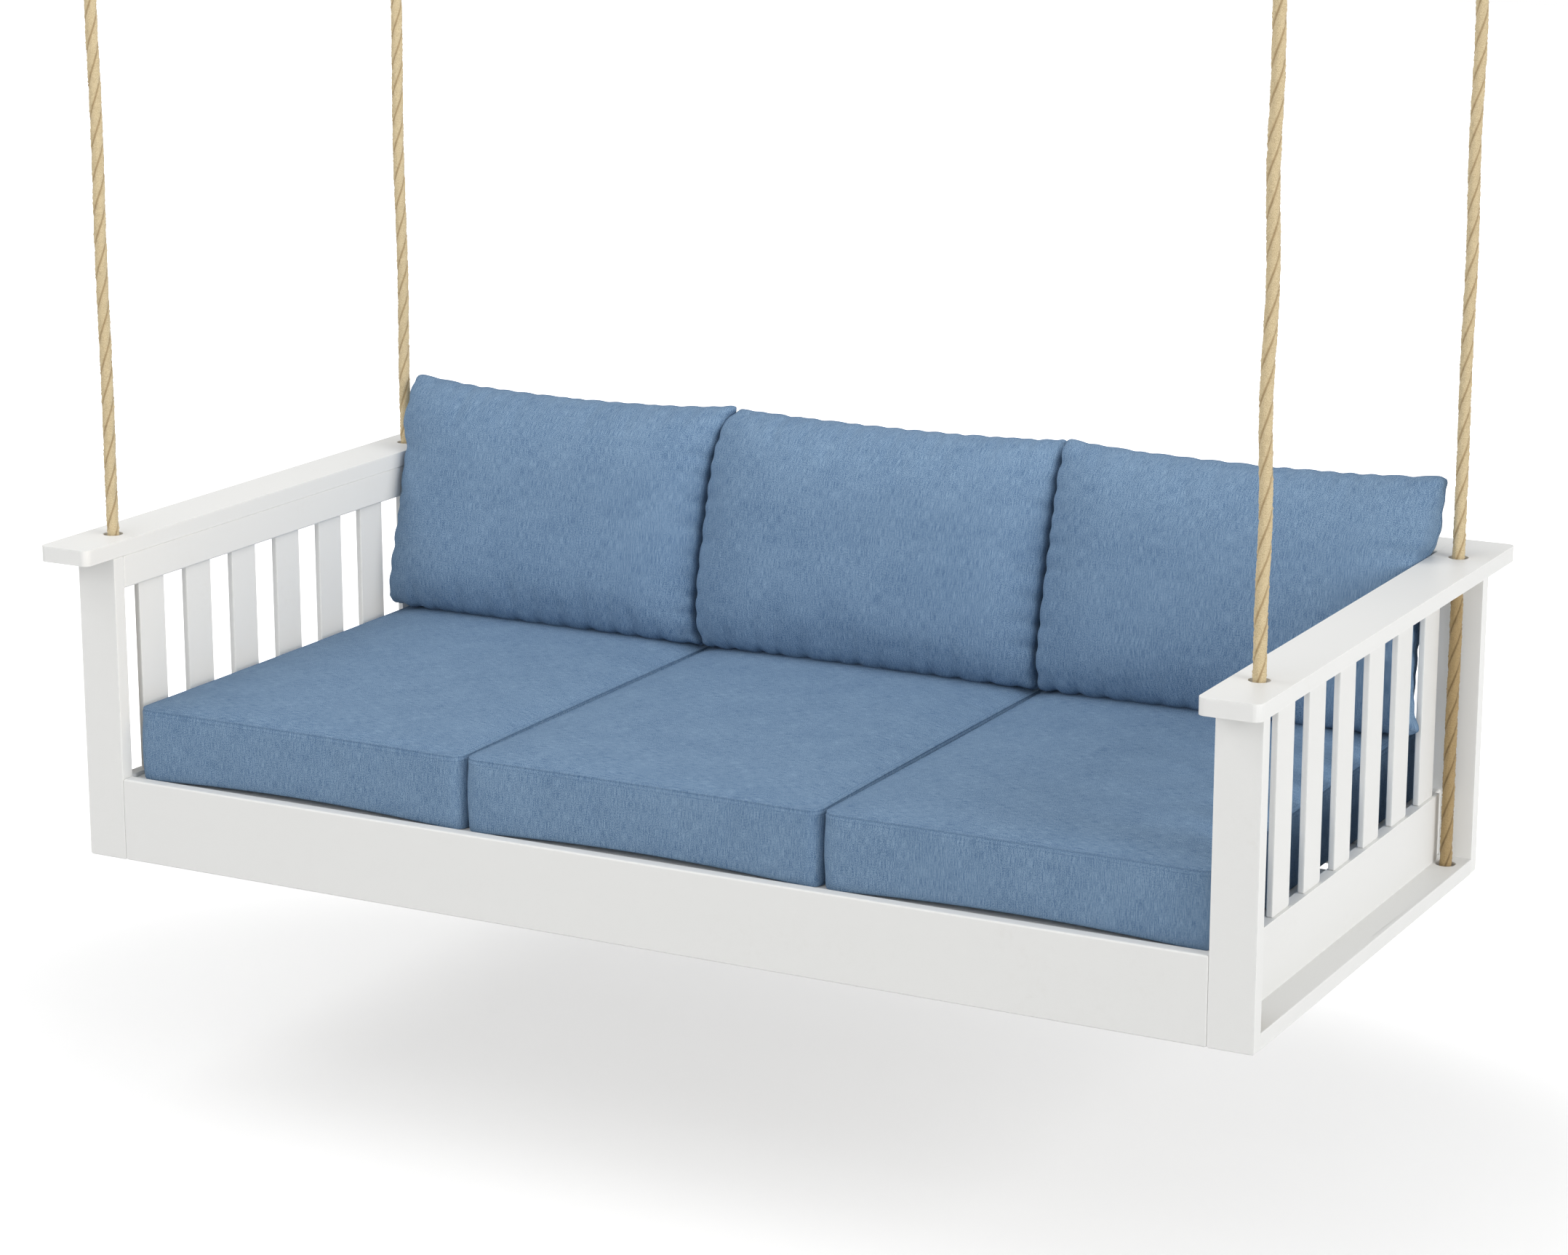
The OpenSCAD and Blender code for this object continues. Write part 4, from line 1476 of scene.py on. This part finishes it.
@dataclass
class BackCushions:
    """Three loose pillows that lean against the back board."""

    width: float = 614.2
    height: float = 402.0
    pitch: float = 614.8
    foot_y: float = 316.0
    foot_z: float = 248.6
    lean: float = 14.8
    front_fill: float = 87.0
    rear_fill: float = 55.0
    top_corner: float = 14.0
    outer_foot_corner: float = 24.0
    inner_foot_corner: float = 11.0
    over_arm: float = 14.0
    over_arm_rise: float = 30.0
    side_swell: float = 14.0
    swell_width: float = 26.0
    foot_slope: float = 0.3
    gather_width: float = 7.0
    gather_depth: float = 3.4
    foot_gather_depth: float = 7.5
    crease_width: float = 6.5
    crease_depth: float = 0.085
    rim_out: float = 2.2
    rim_stand: float = 0.7
    panel_stand: float = 1.5
    sewn_band: float = 3.0
    rear_reach: float = 6.0
    rim_reach: float = 1.0
    front_reach: float = 13.0
    side_room: float = 0.4
    arm_clear_z: float = 519.0
    arm_inner_x: float = 922.4
    board_y: float = 440.0
    board_top: float = 518.2
    step: float = 8.6
    edge: tuple[float, ...] = (0.0, 0.7, 2.2, 5.0, 9.0, 14.5, 21.5)
    # by each corner: how far it is pulled out across, up and out of the pillow's plane
    pillows: list[BackPillow] = field(default_factory=lambda: [
        BackPillow("left", -1, 0.0, 14.0, 13.0, {
            (-1, -1): (26.0, 5.0, 0.0), (-1, 1): (6.0, 4.0, 0.0),
            (1, -1): (-1.0, 0.0, 0.0), (1, 1): (12.0, 3.0, 8.0)}),
        BackPillow("middle", 0, -12.5, 1.0, 8.5, {
            (-1, -1): (-1.0, 0.0, 0.0), (-1, 1): (1.0, -2.0, -9.0),
            (1, -1): (-1.0, 0.0, 0.0), (1, 1): (-3.0, 2.0, -6.0)}),
        BackPillow("right", 1, 1.0, 0.0, 9.0, {
            (1, -1): (28.0, 5.0, 0.0), (1, 1): (6.0, 4.0, 0.0),
            (-1, -1): (-1.0, 0.0, 0.0), (-1, 1): (6.0, 4.0, 8.0)}),
    ])

    def build(self) -> list[Cover]:
        """Makes the three covers, from the left."""
        return [self._cover(pillow, number) for number, pillow in enumerate(self.pillows)]

    def _cover(self, pillow: BackPillow, seed: int) -> Cover:
        """Makes one pillow: its drawn seams, gathers, ears and creases, leant back.

        Args:
            pillow: What sets this pillow apart.
            seed: The number that its gathers start from.

        Returns:
            The cover, not yet filled.
        """
        hx, hy = self.width / 2, self.height / 2
        across, along = graded(hx, self.edge, self.step), graded(hy, self.edge, self.step)
        shell = Shell(across, along, 2)
        faces, panels = shell.faces()
        gx, gy = (a.ravel() for a in np.meshgrid(across, along))
        top, foot = Tucks(seed * 7 + 1, self.width), Tucks(seed * 7 + 2, self.width, 34.0, 62.0)
        left, right = Tucks(seed * 7 + 3, self.height), Tucks(seed * 7 + 4, self.height)
        gather = self.gather_width

        def seam_plan(x: np.ndarray, y: np.ndarray, out: float) -> tuple[np.ndarray, np.ndarray]:
            """A grid point's place in the pillow's plane, with draws, gathers and ears."""
            u, v = x / hx, y / hy
            side = np.where(u > 0, right.pinch(y, gather), left.pinch(y, gather))
            ends = np.where(v > 0, top.pinch(x, gather), foot.pinch(x, gather))
            draw = np.where(u > 0, pillow.right_draw, pillow.left_draw)
            pinched = self.gather_depth * side * np.abs(u) ** 8
            in_x = np.abs(u) ** 3 * (draw * arch(v, 4, 0.8) + pinched)
            high = self.foot_z + (y + hy) * math.cos(math.radians(self.lean))
            over = np.clip((high - self.arm_clear_z) / self.over_arm_rise, 0, 1)
            out_x = np.clip(u * pillow.place, 0, 1) ** 5 * self.over_arm * over * over * (3 - 2 * over)
            drop = np.where(v > 0, pillow.top_draw, 0.0)
            deep = np.where(v > 0, self.gather_depth, self.foot_gather_depth)
            in_y = np.abs(v) ** 3 * (drop * arch(u, 2, 0.8) + deep * ends * np.abs(v) ** 8)
            outer = u * pillow.place > 0
            foot_corner = np.where(outer, self.outer_foot_corner, self.inner_foot_corner)
            radius = np.where(v > 0, self.top_corner, foot_corner) + out
            px, py = rounded(u * (hx + out), v * (hy + out), hx + out, hy + out, radius)
            px = px - np.sign(u) * (in_x - out_x)
            py = py - np.sign(v) * in_y
            for (ex, ey), (reach, rise, _) in pillow.ears.items():
                near = np.clip(ex * u, 0, 1) ** 6 * np.clip(ey * v, 0, 1) ** 4
                px, py = px + ex * reach * near, py + rise * near
            return px, py

        def lifted(x: np.ndarray, y: np.ndarray) -> np.ndarray:
            """How far an ear stands out of the pillow's plane."""
            u, v = x / hx, y / hy
            return sum(
                stand * np.clip(ex * u, 0, 1) ** 7 * np.clip(ey * v, 0, 1) ** 5
                for (ex, ey), (_, _, stand) in pillow.ears.items())

        def puff(x: np.ndarray, y: np.ndarray) -> np.ndarray:
            """The share of the fill at a place, creased where the seams are gathered."""
            u, v = x / hx, y / hy
            body = arch(u, 3.8, 0.32) * np.where(v > 0, arch(v, 2.8, 0.42), arch(v, 4, 0.36))
            crease = 0.0
            for tucks, s, gone, length in (
                (top, x, hy - y, 16.0), (foot, x, hy + y, 22.0),
                (left, y, hx + x, 20.0), (right, y, hx - x, 20.0),
            ):
                fade = np.exp(-gone / length) * np.minimum(1, gone / 5)
                crease = crease + tucks.pinch(s, self.crease_width) * fade
            return body - self.crease_depth * crease * (body > 0)

        def swollen(x: np.ndarray, y: np.ndarray) -> np.ndarray:
            """How far a panel's side swells outwards over its seam."""
            gone = hx - np.abs(x)
            full = self.side_swell * np.exp(-((gone / self.swell_width) ** 2))
            return np.sign(x) * np.minimum(0.93 * gone, full) * (1 - (y / hy) ** 6)

        px, py = seam_plan(gx, gy, 0.0)
        px = px + swollen(gx, gy)
        stand, share = lifted(gx, gy), puff(gx, gy)
        rim_x, rim_y = across[shell.rim[:, 0]], along[shell.rim[:, 1]]
        rx, ry = seam_plan(rim_x, rim_y, self.rim_out)
        rim_z = lifted(rim_x, rim_y)
        rear, front = (np.stack([rx, ry, rim_z + z], 1) for z in (-self.rim_stand, self.rim_stand))
        under = np.stack([px, py, stand - self.panel_stand - self.rear_fill * share], axis=1)
        face = np.stack([px, py, stand + self.panel_stand + self.front_fill * share], axis=1)
        points = self._lean(np.concatenate([under, rear, front, face]), pillow)
        piece = mesh_piece(f"back_pillow_{pillow.name}", place(points), faces)
        grid = (len(along), len(across), 3)
        flat_rim = shell.rim[:, 1] * len(across) + shell.rim[:, 0]
        maps, seams = [], []
        for panel in (under, face):
            over, wide = along_cloth(panel.reshape(grid))
            up, tall = (a.T for a in along_cloth(panel.reshape(grid).transpose(1, 0, 2)))
            maps.append(np.stack([(over - wide / 2).ravel(), (up - tall / 2).ravel()], axis=1))
            nearest = np.minimum.reduce([over, wide - over, up, tall - up]).ravel()
            seams.append(nearest + self.panel_stand)
        store(piece.data, "seam", np.concatenate([seams[0], 0 * rx, 0 * rx, seams[1]]) * MM)
        shift = [0.0, 900.0 * (seed + 1)]  # each pillow is cut from its own place in the cloth
        rest = [maps[0][flat_rim], maps[1][flat_rim], maps[1]]
        whole, wall = (np.concatenate([first, *rest]) + shift for first in (maps[0], 0 * maps[0]))
        panel_uv(piece.data, panels, {Panel.UNDER: whole, Panel.FACE: whole, Panel.WALL: wall})
        sewn = np.minimum(hx - np.abs(gx), hy - np.abs(gy)) + self.rim_out < self.sewn_band
        held = np.concatenate([sewn, np.ones(2 * len(rx), bool), sewn])
        free = ~held
        reach = np.repeat(
            [self.rear_reach, self.rim_reach, self.front_reach], [len(gx), 2 * len(rx), len(gx)])
        board = place((0.0, self.board_y, self.board_top))
        middle_x = pillow.place * self.pitch
        rows_y = np.concatenate([gy, rim_y, rim_y, gy])
        limits = [
            (seam_plan(np.full_like(rows_y, end * hx), rows_y, 0.0)[0] + middle_x
             + end * self.side_room) * MM
            for end in (-1, 1)
        ]
        arm_x, arm_z = self.arm_inner_x * MM, place((0.0, 0.0, self.arm_clear_z))[2]

        def settle(moved: np.ndarray) -> np.ndarray:
            """Keeps a filled pillow off the back board, the arms and its neighbours."""
            low = moved[:, 2] < board[2]
            moved[low, 1] = np.minimum(moved[low, 1], board[1])
            moved[free, 0] = np.clip(moved[free, 0], limits[0][free], limits[1][free])
            beside = free & (moved[:, 2] < arm_z)
            moved[beside, 0] = np.clip(moved[beside, 0], -arm_x, arm_x)
            return moved

        return Cover(piece, held, reach, settle)

    def _lean(self, local: np.ndarray, pillow: BackPillow) -> np.ndarray:
        """Stands a pillow on the seat and leans it back, its face upright at the foot.

        Args:
            local: Its points across, up and out of its plane.
            pillow: The pillow.

        Returns:
            The points in seat-frame millimetres.
        """
        a = math.radians(self.lean)
        up = np.array([0.0, math.sin(a), math.cos(a)])
        foot = np.array([pillow.place * self.pitch, self.foot_y, self.foot_z])
        high = local[:, 1] + self.height / 2
        share = np.clip(high / (0.5 * self.height), 0, 1)
        slope = a * np.where(local[:, 2] > 0, self.foot_slope + (1 - self.foot_slope) * share, 1.0)
        out = np.stack([0 * slope, -np.cos(slope), np.sin(slope)], axis=1)
        return foot + local[:, :1] * [1.0, 0.0, 0.0] + high[:, None] * up + local[:, 2:] * out


# ---------------------------------------------------------------------------
# Boards and metal: carried-over nodes with rounded edges and their finishes
# ---------------------------------------------------------------------------


@dataclass
class Boards:
    """The frame's, the deck's and the slats' boards."""

    edge: float = 3.0
    arm_edge: float = 8.5
    slat_edge: float = 3.2
    timber_edge: float = 1.5
    rows_of_boards: tuple[str, ...] = ("back_slats", "deck_boards")
    timber: tuple[str, ...] = ("deck_cleat", "deck_joist")
    words: tuple[str, ...] = (
        "rail", "post", "base_board", "arm", "back_top_board", "slat", "deck_boards")

    def build(self) -> None:
        """Rounds and dresses every board."""
        paint, bare = BoardPaint(), JoistTimber()
        for name, node in sorted(frame["nodes"].items()):
            if name.startswith(self.timber):
                round_edges(node, self.timber_edge, 2)
                dress(node, bare.material(f"sawn_{name}"))
            elif any(word in name for word in self.words) and "cushion" not in name:
                width = self.arm_edge if name.startswith("arm") else self.edge
                round_edges(node, self.slat_edge if "slat" in name else width, 4)
                box = None if name in self.rows_of_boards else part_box(name)
                dress(node, paint.material(f"painted_{name}", box))
            else:
                continue
            log.info("%s: rounded and dressed", name)


@dataclass
class Metalwork:
    """The hangers, thimbles, bolts, nuts, rope stoppers and screws."""

    steel: BareSteel = field(default_factory=BareSteel)
    zinc: BareSteel = field(default_factory=lambda: BareSteel(
        srgb(206, 206, 204), srgb(158, 160, 163), 420.0, 0.42))

    def build(self) -> None:
        """Rounds and dresses every metal node."""
        black = HangerPaint().material("black_powder_coat")
        bright, dull = self.steel.material("plated_steel"), self.zinc.material("galvanised_steel")
        for names, finish, width in (
            (("ceiling_hangers_front", "ceiling_hangers_back"), black, 0.9),
            (("thimbles_front", "thimbles_back"), dull, 0.7),
            (("hanger_bolts", "hanger_nuts"), bright, 0.6),
            (("rope_stoppers",), dull, 0.6),
            (("wood_screws",), bright, 0.2),
        ):
            for name in names:
                round_edges(frame["nodes"][name], width, 2)
                dress(frame["nodes"][name], finish)
                log.info("%s: rounded and dressed", name)


def build_cushions(quick: bool) -> None:
    """Makes the seat and back cushions, fills them and dresses them.

    Args:
        quick: Leaves the simulation out.
    """
    seats, backs = SeatCushions().build(), BackCushions().build()
    if not quick:
        inflate = Inflation()
        for cover in seats + backs:
            inflate.add(cover)
        inflate.run(seats + backs)
    cloth = CushionCloth()
    for covers, kind, fill in ((seats, "seat", 0.85), (backs, "back", 0.7)):
        for cover, place_name in zip(covers, CUSHION_PLACES):
            twill = cloth.material(f"twill_{kind}_{place_name}", "cloth", "seam")
            finish_cushion(cover.piece, f"{kind}_cushion_{place_name}", twill)


def main() -> None:
    """Builds the camera, ropes, boards, metalwork, cushions and studio, in that order."""
    logging.basicConfig(level=logging.INFO, format="%(message)s")
    ViewCamera().build()
    ropes = Ropes()
    ropes.stretches()
    ropes.eyes()
    Boards().build()
    Metalwork().build()
    build_cushions(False)
    Studio().build()


if __name__ == "__main__":
    main()
